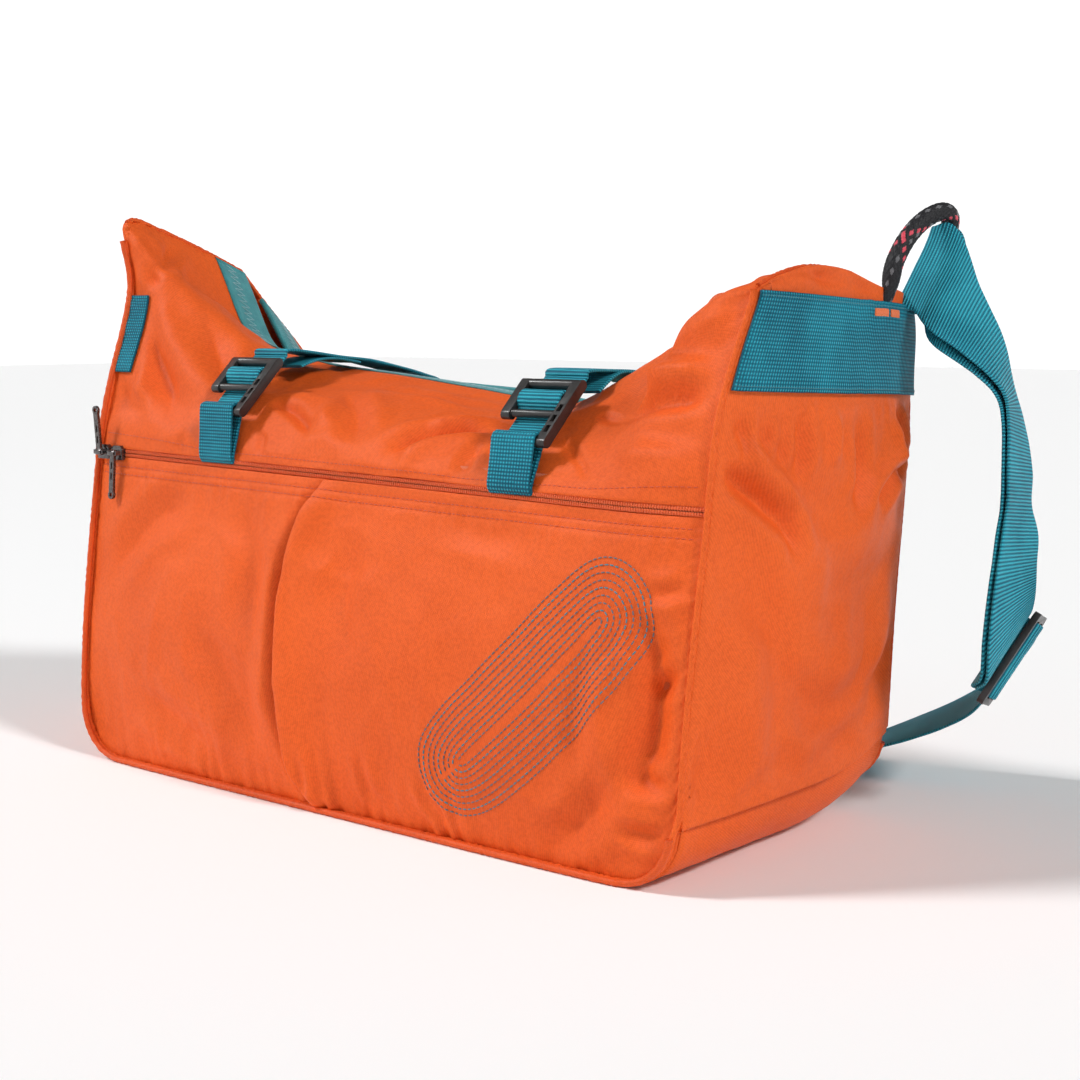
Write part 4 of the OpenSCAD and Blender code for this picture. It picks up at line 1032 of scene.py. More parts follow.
pv = crv(PLEAT, np.linspace(0, 1, 200))
PLEAT = pv[np.argsort(pv[:, 1])]
pocket_creases = [
    ([[209, -92, 145], [221, -94, 117], [222, -99, 77], [214, -101, 40]], 13, -4.4, 0.6, 0.3),
    ([[201, -97, 125], [193, -102, 94], [201, -104, 54], [212, -102, 26]], 14, 3.0, 0.8, 0.3),
    ([[239, -86, 158], [226, -90, 150], [208, -94, 150]], 7, -2.4, 0.5, 0.4),
    ([[239, -90, 118], [228, -94, 106], [214, -98, 100]], 8, -2.6, 0.5, 0.4),
    ([[239, -94, 62], [226, -98, 54], [206, -101, 58]], 8, -3.0, 0.5, 0.4),
    ([[236, -96, 30], [220, -99, 28], [200, -101, 34]], 8, -2.8, 0.5, 0.4),
    ([[-30, -106, 46], [-22, -105, 24], [-20, -104, 8]], 7, -2.0, 0.6, 0.4),
    ([[26, -106, 52], [30, -105, 26], [38, -104, 8]], 7, -2.2, 0.6, 0.4),
    ([[70, -106, 44], [80, -105, 22], [92, -104, 8]], 7, -2.0, 0.6, 0.4),
    ([[-218, -92, 120], [-205, -97, 131], [-178, -94, 159], [-132, -91, 176]], 16, -2.4, 0.7, 0.35),
    ([[-128, -106, 112], [-113, -108, 91], [-90, -111, 70], [-68, -110, 40], [-60, -108, 20]], 20, -2.2, 0.8, 0.35),
    ([[-101, -88, 183], [-95, -90, 176], [-77, -99, 142], [-72, -108, 95]], 18, -1.8, 0.8, 0.35),
    ([[-2, -92, 172], [4, -98, 150], [4, -103, 126], [19, -110, 83]], 18, -2.0, 0.8, 0.35),
    ([[-180, -106, 60], [-164, -108, 46], [-135, -108, 32], [-98, -107, 18]], 16, -2.4, 0.7, 0.35),
    ([[150, -104, 6], [162, -105, 11], [195, -105, 43], [216, -100, 86]], 14, -2.6, 0.7, 0.35),
    ([[-60, -92, 168], [-52, -104, 120], [-52, -108, 60], [-46, -107, 24]], 15, 2.2, 0.9, 0.3),
    ([[60, -90, 178], [100, -93, 172], [150, -92, 170]], 13, -1.2, 0.8, 0.35),
]


def pocket_half(name, side, node):
    nv_ = 109
    v = np.linspace(0, 1, nv_)
    v = 0.984 * (0.5 * v + 0.5 * (1 - np.cos(np.pi * v)) / 2)
    if side < 0:
        a, b, n_ = np.full(nv_, -HX), pleat_x(v) + 9, 113
    else:
        a, b, n_ = pleat_x(v), np.full(nv_, HX), 145
    uu = np.linspace(0, 1, n_)
    X = a[None] + (b - a)[None] * uu[:, None]
    Vv = np.broadcast_to(v[None], X.shape)
    P0 = pocket(X, Vv)
    N0 = unit_n(P0)
    d = np.zeros_like(X)
    for c in pocket_creases:
        d += crease(P0, *c)
    d = 1.9 * d + 2.1 * noise3(P0, 60, 25) + 0.6 * noise3(P0, 22, 26) + 0.16 * noise3(P0, 9, 27) + 1.1 * crumple(P0, 52, 28) + 0.5 * crumple(P0, 21, 29) - 0.6
    L = Vv * 192
    top = np.clip((1 - Vv) / 0.05, 0, 1)
    end = np.clip((HX - np.abs(X)) / 14, 0, 1)
    d = d * smooth_step(top, 0, 1) * (0.25 + 0.75 * smooth_step(end, 0, 1)) * smooth_step(np.clip(Vv / 0.08, 0, 1), 0, 1)
    # the hem stays clear of the slider's path
    d -= 0.9 * smooth_step(X, 110, 160) * smooth_step(Vv, 0.90, 0.975)
    # gathers that rise from the hem, longest in the middle of the pocket
    mid = np.exp(-((X - 10) / 150) ** 2)
    d += (1.6 * gathers(X + 0.12 * L, 15.5, 0.9) * np.exp(-L / 22) + 0.9 * gathers(X - 0.1 * L, 8.4, 2.0) * np.exp(-L / 10)) * (0.35 + 0.65 * mid) * np.clip(L / 3, 0, 1) * end
    # puckers beside the end seams and small ripples under the two rows of stitching
    d += 0.5 * gathers(L, 9.0, 1.7) * np.exp(-(HX - np.abs(X)) / 8)
    d += 0.4 * gathers(X, 11.5, 0.2) * np.exp(-((192 - L - 16) / 9) ** 2)
    # the cloth sinks a little along the stitching under the zip
    d -= 0.55 * np.exp(-((192 - L - 8.7) / 1.3) ** 2) + 0.55 * np.exp(-((192 - L - 13.6) / 1.3) ** 2)
    d -= 1.6 * np.exp(-(L - 0.0) / 3.0)
    g = X - pleat_x(Vv)
    pl = smooth_step(np.clip(Vv / 0.06, 0, 1), 0, 1) * smooth_step(np.clip((1 - Vv) / 0.13, 0, 1), 0, 1)
    if side < 0:
        d -= 9.5 * smooth_step(g, -15, 2) * pl + 2.6 * smooth_step(g, -3.5, 0.5) * pl + 0.8 * smooth_step(g, -4, 4)
    else:
        d += (6.5 * np.exp(-(g / 14) ** 2) - 1.6 * np.exp(-((g - 30) / 16) ** 2)) * pl + 0.5 * np.exp(-(g / 8) ** 2)
    P1 = P0 + N0 * d[..., None]
    if side > 0:
        T1, _ = tuck(P1, unit_n(P1), ["u0"], 5.5, 5, 2.6)
        T1, _ = tuck(T1, unit_n(T1), ["u1", "v1"], 4, 3, 1.1)
    else:
        T1, _ = tuck(P1, unit_n(P1), ["u0", "v1"], 4, 3, 1.1)
    panel(name, T1, 1.6, M_NYLON, replaces=[node])
    return P1, X, v


pocketL, _, vL = pocket_half("pocket_cloth_left", -1, "front_pocket_left")
pocketR, XR, vR = pocket_half("pocket_cloth_right", 1, "front_pocket_right")


def on_pocket(x, z, lift=0.0):
    """Points on the finished pocket cloth at x and height z (mm)."""
    x, z = np.atleast_1d(np.asarray(x, float)), np.atleast_1d(np.asarray(z, float))
    z0 = zb(x)
    v = np.clip((z - z0) / (zip_line(x) - z0), 0, 1)
    out = np.zeros((len(x), 3))
    px = pleat_x(v)
    for side, P, vv in ((-1, pocketL, vL), (1, pocketR, vR)):
        sel = (x >= px) if side > 0 else (x < px)
        if not sel.any():
            continue
        N = unit_n(P)
        iv = np.interp(v[sel], vv, np.linspace(0, 1, len(vv)))
        a = px[sel] if side > 0 else np.full(sel.sum(), -HX)
        b = np.full(sel.sum(), HX) if side > 0 else px[sel] + 9
        iu = (x[sel] - a) / (b - a)
        q = at(P, iu, iv)
        n = at(N, iu, iv)
        out[sel] = q + n / np.linalg.norm(n, axis=-1, keepdims=True) * lift
    return out


# inner wall of the pocket
X, W_ = np.meshgrid(np.linspace(-HX + 6, HX - 6, 61), np.linspace(0.02, 0.98, 31), indexing="ij")
Pw = pocket(X, W_)
vv = np.clip(Pw[..., 2] / zip_line(X), 0, 1)
Pw[..., 1] = base_y0(X) + (zy(X.ravel()).reshape(X.shape) - base_y0(X)) * vv ** 1.15 + 8 + 1.2 * noise3(Pw, 40, 31)
panel("pocket_lining_cloth", Pw, 1.0, M_LINING, replaces=["pocket_back_wall"])


# gussets, with the displacement kept so that the bands can lie on them
def gusset_grid(s, T, H, off):
    g = gus(s, T, H)
    b = GB * np.sin(np.pi * np.clip(T, 0, 1))[:, None] ** 0.7 * np.sin(np.pi * np.clip(0.12 + 0.8 * H, 0, 1))[None] ** 0.8
    return np.stack([s * (HX + 0.5 + b + off) + lean(np.full(g.shape[:2], s * HX), g[..., 1]), g[..., 0], g[..., 1]], -1)


def band_top(s, t):
    t = np.asarray(t, float)
    return 300 - 8 * t if s > 0 else 301 - 61 * t ** 1.4


def hfind(s, t, z):
    H = np.linspace(0, 1, 161)
    return np.array([np.interp(zz, gus(s, np.array([tt]), H)[0, :, 1], H) for tt, zz in zip(t, z)])


g_creases = {1: [
    ([[243, -73, 215], [248, -56, 204], [250, -36, 191], [252, -21, 178], [253, -14, 158]], 12, -4.0, 0.55, 0.25),
    ([[245, -70, 224], [250, -50, 214], [252, -30, 202], [253, -10, 186]], 12, 2.2, 0.8, 0.3),
    ([[249, 89, 238], [247, 100, 222], [246, 105, 205], [247, 104, 190]], 8, -3.2, 0.55, 0.25),
    ([[246, 106, 204], [249, 92, 199], [251, 76, 190], [252, 66, 182]], 8, -3.2, 0.55, 0.3),
    ([[246, -59, 240], [247, -55, 225], [248, -54, 208]], 7, -2.2, 0.6, 0.35),
    ([[250, -34, 240], [251, -31, 226], [251, -34, 212]], 7, 1.8, 0.7, 0.35),
    ([[251, -12, 240], [252, -7, 218], [252, -9, 200]], 8, -2.2, 0.6, 0.35),
    ([[252, 18, 240], [253, 22, 222], [253, 20, 205]], 8, 1.8, 0.7, 0.35),
    ([[252, 44, 240], [253, 54, 204], [253, 46, 172]], 9, -2.4, 0.6, 0.35),
    ([[249, 84, 140], [250, 60, 105], [249, 49, 62]], 20, -2.6, 0.8, 0.35),
    ([[250, -60, 150], [252, -50, 100], [250, -56, 56]], 20, 1.8, 0.9, 0.35),
    ([[250, -20, 100], [252, 10, 84], [250, 40, 60]], 22, -1.8, 0.9, 0.35),
    ([[246, -40, 330], [252, -10, 318], [256, 20, 308]], 12, -2.4, 0.6, 0.3),
    ([[250, 50, 320], [254, 66, 308], [254, 80, 304]], 9, 2.0, 0.7, 0.35),
], -1: [
    ([[-246, -50, 230], [-252, -30, 206], [-253, -6, 180]], 14, -3.8, 0.6, 0.3),
    ([[-250, 90, 190], [-252, 60, 170], [-252, 30, 150]], 14, -3.2, 0.6, 0.3),
    ([[-250, -50, 120], [-252, -20, 96], [-250, 30, 74]], 18, -2.4, 0.8, 0.3),
    ([[-258, -30, 322], [-262, -10, 326], [-262, 14, 322]], 8, -2.4, 0.6, 0.3),
    ([[-256, 30, 290], [-256, 50, 262], [-254, 70, 246]], 10, 2.2, 0.7, 0.3),
]}
G_T = np.linspace(0, 1, 91)
G_H = np.linspace(0, 1, 131)
gusset_final = {}
for s in (1, -1):
    P0 = gusset_grid(s, G_T, G_H, 1.9)
    N0 = unit_n(P0, (0, 20, 150))
    TT, HH = np.meshgrid(G_T, G_H, indexing="ij")
    d = np.zeros_like(TT)
    for c in g_creases[s]:
        d += crease(P0, *c)
    d = 2.1 * d + 3.0 * noise3(P0, 50, 35 + s) + 0.8 * noise3(P0, 21, 37 + s) + 0.2 * noise3(P0, 8, 39 + s) + 0.5 * crumple(P0, 18, 43 + s) - 0.5
    d += sim_folds(P0 + N0 * d[..., None], N0, 1.9, seed=41 + s)
    zt = band_top(s, G_T)[:, None]
    under = (zt - 50) - P0[..., 2]
    inband = smooth_step(P0[..., 2], zt - 60, zt - 51.5) * (1 - smooth_step(P0[..., 2], zt + 1.5, zt + 9))
    d += 0.9 * gathers(P0[..., 1] * s, 13, 0.6) * np.exp(-np.clip(under, 0, 99) / 14) * (under > -3)
    edge = np.minimum(np.minimum(TT, 1 - TT) * 190, np.minimum(HH, 1 - HH) * 240)
    ease = 0.12 + 0.88 * smooth_step(np.clip(edge / 14, 0, 1), 0, 1)
    d = d * ease + 0.6 * gathers(P0[..., 2], 9.5, 0.3 + s) * np.exp(-np.minimum(TT, 1 - TT) * 190 / 8) * smooth_step(np.clip(edge / 3, 0, 1), 0, 1)
    d = d * (1 - 0.97 * inband)
    P1 = P0 + N0 * d[..., None]
    gusset_final[s] = P1
    T1, _ = tuck(P1, unit_n(P1, (0, 20, 150)), ["u0", "u1", "v0", "v1"], 4, 3, 1.2)
    panel("gusset_cloth_" + ("right" if s > 0 else "left"), T1, 1.5, M_NYLON_G, replaces=["right_gusset" if s > 0 else "left_gusset"], centre=(0, 20, 150))


def on_gusset(s, t, z, off):
    t, z = np.atleast_1d(np.asarray(t, float)), np.atleast_1d(np.asarray(z, float))
    h = hfind(s, t, z)
    P = gusset_final[s]
    N = unit_n(P, (0, 20, 150))
    n = at(N, t, h)
    return at(P, t, h) + n / np.linalg.norm(n, axis=-1, keepdims=True) * off


# underside
p_arc = np.linspace(0, math.pi / 2, 15)
ox = np.concatenate([-(HX - CORNER) - CORNER * np.cos(p_arc), np.linspace(-(HX - CORNER), HX - CORNER, 82)[1:-1], (HX - CORNER) + CORNER * np.sin(p_arc)])
oz = np.concatenate([CORNER - CORNER * np.sin(p_arc), np.zeros(80), CORNER - CORNER * np.cos(p_arc)])
bt = np.concatenate([np.linspace(0, 0.6, 25), np.linspace(0.6, 1, 26)[1:]])
OX, BT = np.meshgrid(ox, bt, indexing="ij")
yf = base_y0(ox) + WALL + 1
yb = back(ox, np.zeros_like(ox))[:, 1] - 1
Pb = np.stack([OX, yf[:, None] + (yb - yf)[:, None] * BT, oz[:, None] + base_rise(BT)], -1)
Nb_ = unit_n(Pb, (0, 0, 150))
d = 0.9 * noise3(Pb, 40, 51) + 0.4 * noise3(Pb, 15, 52)
d = np.where(Nb_[..., 2] < -0.8, -np.abs(d) * 0.6, d) * smooth_step(np.clip(np.minimum(BT, 1 - BT) * 20, 0, 1), 0, 1)
Pb = Pb + Nb_ * d[..., None]
Pb[..., 2] = np.maximum(Pb[..., 2], 0.05)
panel("base_cloth", Pb, 1.8, M_NYLON_G, replaces=["base_panel"], centre=(0, 0, 150))


# ------------------------------------------------------------------ seams, piping, bindings
def seam_tube(name, C, r, mats, pucker=0.28, period=4.2, replaces=(), k=12, slot="piping_nylon", seed=1.0):
    C = np.asarray(C, float)
    L = np.concatenate([[0], np.cumsum(np.linalg.norm(np.diff(C, axis=0), axis=1))])
    n = int(L[-1] / 1.1)
    q = np.linspace(0, L[-1], n)
    C = np.stack([np.interp(q, L, C[:, i]) for i in range(3)], -1)
    for _ in range(3):
        C[1:-1] = 0.25 * C[:-2] + 0.5 * C[1:-1] + 0.25 * C[2:]
    R = r * (1 + pucker * gathers(q, period, seed) * 0.5)
    Rg = tube_rings(C, np.tile(R[:, None], (1, k)), k)
    V, F, uv = ring_solid(Rg)
    return make(name, V, orient_fast(V, F), mats, uv=uv, replaces=replaces, slot=slot)


def fs_line(s, h):
    q = fseam(s, h)
    return np.stack([s * (HX + 0.4) + lean(np.full(len(q), s * HX), q[:, 1]), q[:, 0] - 3.0, q[:, 1]], -1)


hh = np.linspace(0.02, 0.95, 60)
a = np.linspace(0, math.pi / 2, 14)[1:-1]
cor = np.stack([(HX - CORNER) + (CORNER - 2) * np.cos(a), np.full(len(a), base_y0(HX) - 4.2), CORNER - (CORNER - 2) * np.sin(a)], -1)
xb = np.linspace(-HX + CORNER, HX - CORNER, 60)
bot = np.stack([xb, base_y0(xb) - 3.4, np.full(60, 2.05)], -1)
L_ = fs_line(-1, hh[::-1])
R_ = fs_line(1, hh)
pipe = np.concatenate([L_, cor * [-1, 1, 1], bot, cor[::-1], R_])
left_and_base = pipe[: len(L_) + 2 * len(cor) + len(bot)]
seam_tube("corded_edge_seam", left_and_base, 1.9, M_PIPE, 0.2, 6.5, ["base_piping"], 14)
seam_tube("right_edge_seam", pipe[len(left_and_base) - 2:] + np.array([0.0, 1.4, 0]), 1.15, M_NYLON_G, 0.30, 6.1, (), 12, "shell_nylon", 5.0)
# the second edge of the corded seam: cloth drawn over the cord
off2 = pipe + np.array([0, 2.4, 0.0])
seam_tube("seam_allowance_front", off2, 1.75, M_NYLON, 0.35, 5.3, (), 10, "shell_nylon", 2.0)
for s in (1, -1):
    hb = np.linspace(0, 0.985, 70)
    q = bseam(s, hb)
    line = np.stack([s * (HX + 0.9) + lean(np.full(70, s * HX), q[:, 1]), q[:, 0] + 0.2, q[:, 1]], -1)
    seam_tube("back_edge_seam_" + ("right" if s > 0 else "left"), line, 1.7, M_PIPE, 0.10, 5.6, (), 10, "piping_nylon", 1.0 + s)
    tb = np.linspace(0.0, 1.0, 50)
    q = gbot(s, tb)
    line = np.stack([np.full(50, s * (HX + 0.6)), q[:, 0], q[:, 1]], -1)
    line[:, 0] += s * 0.6 * np.sin(np.pi * tb)
    seam_tube("base_end_seam_" + ("right" if s > 0 else "left"), line, 1.75, M_NYLON_G, 0.12, 7.0, (), 10, "piping_nylon", 3.0 + s)
    q = gtop(s, np.linspace(0.0, 1.0, 60))
    line = np.stack([s * (HX + 0.4) + lean(np.full(60, s * HX), q[:, 1]), q[:, 0], q[:, 1] - 0.4], -1)
    seam_tube("horn_top_seam_" + ("right" if s > 0 else "left"), line, 1.5, M_PIPE, 0.3, 5.0, (), 10, "piping_nylon", 4.0 + s)
xq = np.linspace(-HX + 1, HX - 1, 150)
q = back(xq, np.zeros_like(xq))
seam_tube("back_base_seam", q + np.array([0, 0.1, -1.4]), 1.8, M_PIPE, 0.3, 5.6, (), 10, "piping_nylon", 6.0)


def rim_binding(name, fn, w0, node, centre, wide_in=10.0, lift=0.95):
    x = np.linspace(-HX + 0.5, HX - 0.5, 301)
    w = np.linspace(w0, 1, 7)
    X, Wg = np.meshgrid(x, w, indexing="ij")
    P = fn(X, Wg)
    N = unit_n(P, centre)
    out = P[:, -1] - P[:, -2]
    out /= np.linalg.norm(out, axis=-1, keepdims=True)
    wob = 0.25 * noise3(P, 12, 61)[..., None]
    A = [P[:, j] + N[:, j] * (lift + wob[:, j]) for j in range(7)]
    e = P[:, -1]
    n = N[:, -1]
    A += [e + n * lift * 0.75 + out * 0.9, e - n * 0.8 + out * 1.35, e - n * 2.35 + out * 0.9]
    A += [P[:, j] - N[:, j] * (1.6 + lift) for j in range(6, 1, -1)]
    B = [P[:, j] - N[:, j] * 1.75 for j in range(2, 7)] + [P[:, j] + N[:, j] * 0.05 for j in range(6, -1, -1)]
    Rg = np.stack(A + B, 1)
    V, F, _ = ring_solid(Rg)
    Lx = np.concatenate([[0], np.cumsum(np.linalg.norm(np.diff(e, axis=0), axis=1))])
    per = np.concatenate([[0], np.cumsum(np.linalg.norm(np.diff(Rg[150], axis=0), axis=1))])
    uv = np.stack(np.broadcast_arrays(per[None], Lx[:, None]), -1).reshape(-1, 2)
    make(name, V, orient_fast(V, F), M_BIND, uv=uv, replaces=[node], slot="binding_tape")
    # zigzag stitching on the outer face
    wz = 1 - (1 - w0) * np.array([0.72, 0.40])
    n_z = int(Lx[-1] / 2.4)
    xi = np.interp(np.linspace(3, Lx[-1] - 3, n_z), Lx, x)
    wv = np.where(np.arange(n_z) % 2 == 0, wz[0], wz[1])
    Q = fn(xi, wv)
    Nz = np.stack([np.interp(xi, x, N[:, 3, i]) for i in range(3)], -1)
    Q = Q + Nz * (lift + 0.18)
    V, F = capsules(Q[:-1], Q[1:], 0.24, 5)
    make(name + "_stitching", V, F, M_THREAD_W, slot="stitch_thread")


rim_binding("mouth_binding_front_tape", upper, 0.87, "mouth_binding_front", (0, 20, 120))
rim_binding("mouth_binding_back_tape", back, 0.91, "mouth_binding_back", (0, 0, 110))

# webbing bands across the gussets
band_final = {}
for s in (1, -1):
    t = np.linspace(0.006, 0.994, 71)
    across = np.linspace(0, 1, 25)
    o = 0.9
    P = np.stack([on_gusset(s, t, band_top(s, t) - 50 * (1 - k), o + 1.5) for k in across], 0)
    N = unit_n(P, (0, 20, 150))
    dd = 0.35 * noise3(P, 18, 71) + 0.28 * np.exp(-((np.minimum(across, 1 - across)[:, None] * 50 - 2.0) / 1.1) ** 2)
    P = P + N * dd[..., None]
    band_final[s] = (P, t)
    V, F, uv, _ = shell(P, 1.5, (0, 20, 150))
    make("gusset_band_" + ("right" if s > 0 else "left"), V, F, M_BAND, uv=uv, replaces=["band_right" if s > 0 else "band_left"], slot="strap_webbing")


Nf1_ = unit_n(front1, (0, 20, 120))
xw = np.linspace(-HX - 1.0, -HX + 17, 16)
rows_ = []
fz = np.linspace(0, 1, 201)
for k in np.linspace(0, 1, 25):
    zz = 300.4 - 50 * (1 - k)
    row = []
    for x in xw:
        u = np.full(201, (np.clip(x, -HX, HX) + HX) / (2 * HX))
        col = at(front1, u, fz)
        nc = at(Nf1_, u, fz)
        zc = np.maximum.accumulate(col[:, 2]) + np.linspace(0, 1e-3, 201)
        f0 = np.interp(zz, zc, fz)
        q0 = np.array([np.interp(f0, fz, col[:, i]) for i in range(3)])
        m0 = np.array([np.interp(f0, fz, nc[:, i]) for i in range(3)])
        row.append(q0 + [min(0.0, x + HX), 0, 0] + m0 * 2.1)
    rows_.append(row)
P = np.array(rows_)
P[:, 0] += np.array([0.3, 1.6, 0])
V, F, uv, _ = shell(P, 1.5, (0, 60, 250))
make("gusset_band_left_turned_end", V, F, M_BAND, uv=uv, slot="strap_webbing")


def on_band(s, t, k, lift):
    P, tt = band_final[s]
    N = unit_n(P, (0, 20, 150))
    iu = np.clip(np.asarray(k, float), 0, 1)
    iv = np.interp(t, tt, np.linspace(0, 1, len(tt)))
    n = at(N, iu, iv)
    return at(P, iu, iv) + n / np.linalg.norm(n, axis=-1, keepdims=True) * lift


# bartacks that hold each rope handle: dense zigzags with a border stitch
A_, B_ = [], []
for s, ys in ((1, [66, 82]), (-1, [78, 100])):
    for y in ys:
        Pb_, tb_ = band_final[s]
        tc = float(np.interp(y, Pb_[21][:, 1], tb_))
        n_z = 30
        tt = tc + np.linspace(-6, 6, n_z) / 165
        kk = np.where(np.arange(n_z) % 2 == 0, 0.845, 0.915)
        Q = on_band(s, tt, kk, 0.3)
        A_.append(Q[:-1]); B_.append(Q[1:])
        for kc in (0.845, 0.915):
            Q = on_band(s, np.linspace(tc - 6 / 165, tc + 6 / 165, 9), np.full(9, kc), 0.3)
            A_.append(Q[:-1]); B_.append(Q[1:])
V, F = capsules(np.concatenate(A_), np.concatenate(B_), 0.42, 6)
make("bartack_stitching", V, F, M_THREAD, replaces=["bartacks"], slot="stitch_thread")
# edge stitching of the bands, in their own colour
A_, B_ = [], []
for s in (1, -1):
    for k in (0.05, 0.95):
        tt = np.linspace(0.01, 0.99, 118)
        Q = on_band(s, tt, np.full(118, k), 0.1)
        m_ = Q[:-1] + 0.72 * (Q[1:] - Q[:-1])
        A_.append(Q[:-1]); B_.append(m_)
V, F = capsules(np.concatenate(A_), np.concatenate(B_), 0.26, 5)
make("band_edge_stitching", V, F, M_THREAD_T, slot="stitch_thread")


# ------------------------------------------------------------------ zip
zx = np.arange(-HX + 2, HX - 2, 1.5)
yy = zy(zx)
A_, B_ = [], []
for side in (1, -1):
    c = np.stack([zx + (0.75 if side < 0 else 0), yy - 0.1, zip_line(zx) + side * 0.15], -1)
    e = c + np.array([side * 0.35, 0.5, side * 2.3])
    A_.append(c); B_.append(e)
    # the return leg of each coil turn
    A_.append(c + np.array([0.7, 0.7, side * 0.2])); B_.append(e + np.array([0.35, 0.5, 0]))
V, F = capsules(np.concatenate(A_), np.concatenate(B_), 0.52, 6)
make("zip_coil_turns", V, F, M_COIL, replaces=["zip_coil"], slot="zip_tape")
xs = np.linspace(-HX + 1, HX - 1, 161)
K = np.array([-13, -10, -7, -4, -2.4, -0.4])
P = np.stack([np.stack([xs, zy(xs) + 1.0 + np.clip(-k - 2, 0, 3) * 1.1 - 0.2 * np.clip(k + 13, 0, 99) * 0, zip_line(xs) + k], -1) for k in K], 1)
V, F, uv, _ = shell(P, 0.7, (0, 60, 195))
V2, F2 = V, F
K = np.array([0.4, 2.4, 4.5, 7, 10, 12])
up_ = []
for k in K:
    q = np.stack([xs, zy(xs) + 1.0 + np.clip(k - 2, 0, 99) * 0.30 + np.clip(k - 2, 0, 3) * 0.55, zip_line(xs) + k], -1)
    up_.append(q)
P = np.stack(up_, 1)
Vb, Fb, uvb, _ = shell(P, 0.7, (0, 60, 195))
make("zip_tape_cloth", np.concatenate([V, Vb]), np.concatenate([F, Fb + len(V)]), M_ZTAPE, uv=np.concatenate([uv, uvb]), replaces=["zip_tapes"], slot="zip_tape")

for nm, b in (("left", "slider_left"), ("right", "slider_right")):
    cad_copy("zip_slider_body_" + nm, "zip_slider_" + nm, M_METAL, 0.45, 2, body=b)
for nm, b in (("left", "pull_left"), ("right", "pull_right")):
    cad_copy("zip_pull_tab_" + nm, "zip_pull_" + nm, M_METAL, 0.3, 2, body=b)

# two rows of topstitching under the zip, and one row above it
A_, B_ = [], []
for off, p0 in ((8.7, 0.0), (13.6, 0.5)):
    x0 = np.arange(-HX + 5, HX - 6, 3.5) + p0 * 1.7
    a_ = on_pocket(x0, zip_line(x0) - off, 0.12)
    b_ = on_pocket(x0 + 2.4, zip_line(x0) - off, 0.12)
    A_.append(a_); B_.append(b_)
V, F = capsules(np.concatenate(A_), np.concatenate(B_), 0.33, 6)
make("pocket_topstitching", V, F, M_THREAD_D, slot="stitch_thread")
Nf1 = unit_n(front1, (0, 20, 120))
x0 = np.arange(-HX + 6, HX - 8, 3.4)
uu = (x0 + HX) / (2 * HX)
w0_ = np.full(len(x0), 0.036)
qa = at(front1, uu, w0_) + at(Nf1, uu, w0_) * 0.12
uu2 = (x0 + 2.3 + HX) / (2 * HX)
qb = at(front1, uu2, w0_) + at(Nf1, uu2, w0_) * 0.12
V, F = capsules(qa, qb, 0.3, 6)
make("front_edge_topstitching", V, F, M_THREAD_D, slot="stitch_thread")

# ------------------------------------------------------------------ compression straps, hook buckles, loops
CX = [-119.0, 119.0]
BK = [np.array([-119.0, -83.0, 230.0]), np.array([119.0, -80.5, 221.5])]
TILT = math.radians(46)


def bk_pt(i, y, z):
    return BK[i] + np.array([0, y * math.cos(TILT) + z * math.sin(TILT), -y * math.sin(TILT) + z * math.cos(TILT)])


def inward(P):
    e = np.clip((np.abs(P[..., 0]) - 150) / 90, 0, 1)
    v = np.stack([np.zeros_like(e), 15 - P[..., 1], 120 + 120 * e - P[..., 2]], -1)
    return v / np.linalg.norm(v, axis=-1, keepdims=True)


def over_top(x, q, o):
    out = []
    for qq, oo in zip(q, o):
        E = []
        for e in (-15, -7.5, 0, 7.5, 15):
            X = np.array([x + e])
            p = upper(X, np.array([0.46 + 0.54 * qq]))[0] if qq < 1 else back(X, np.array([1 - 0.38 * (qq - 1)]))[0]
            E.append(p - oo * inward(p))
        E = np.array(E)
        out.append([x, E[:, 1].max() if qq > 1.1 else E[2, 1], E[:, 2].max()])
    return np.array(out)


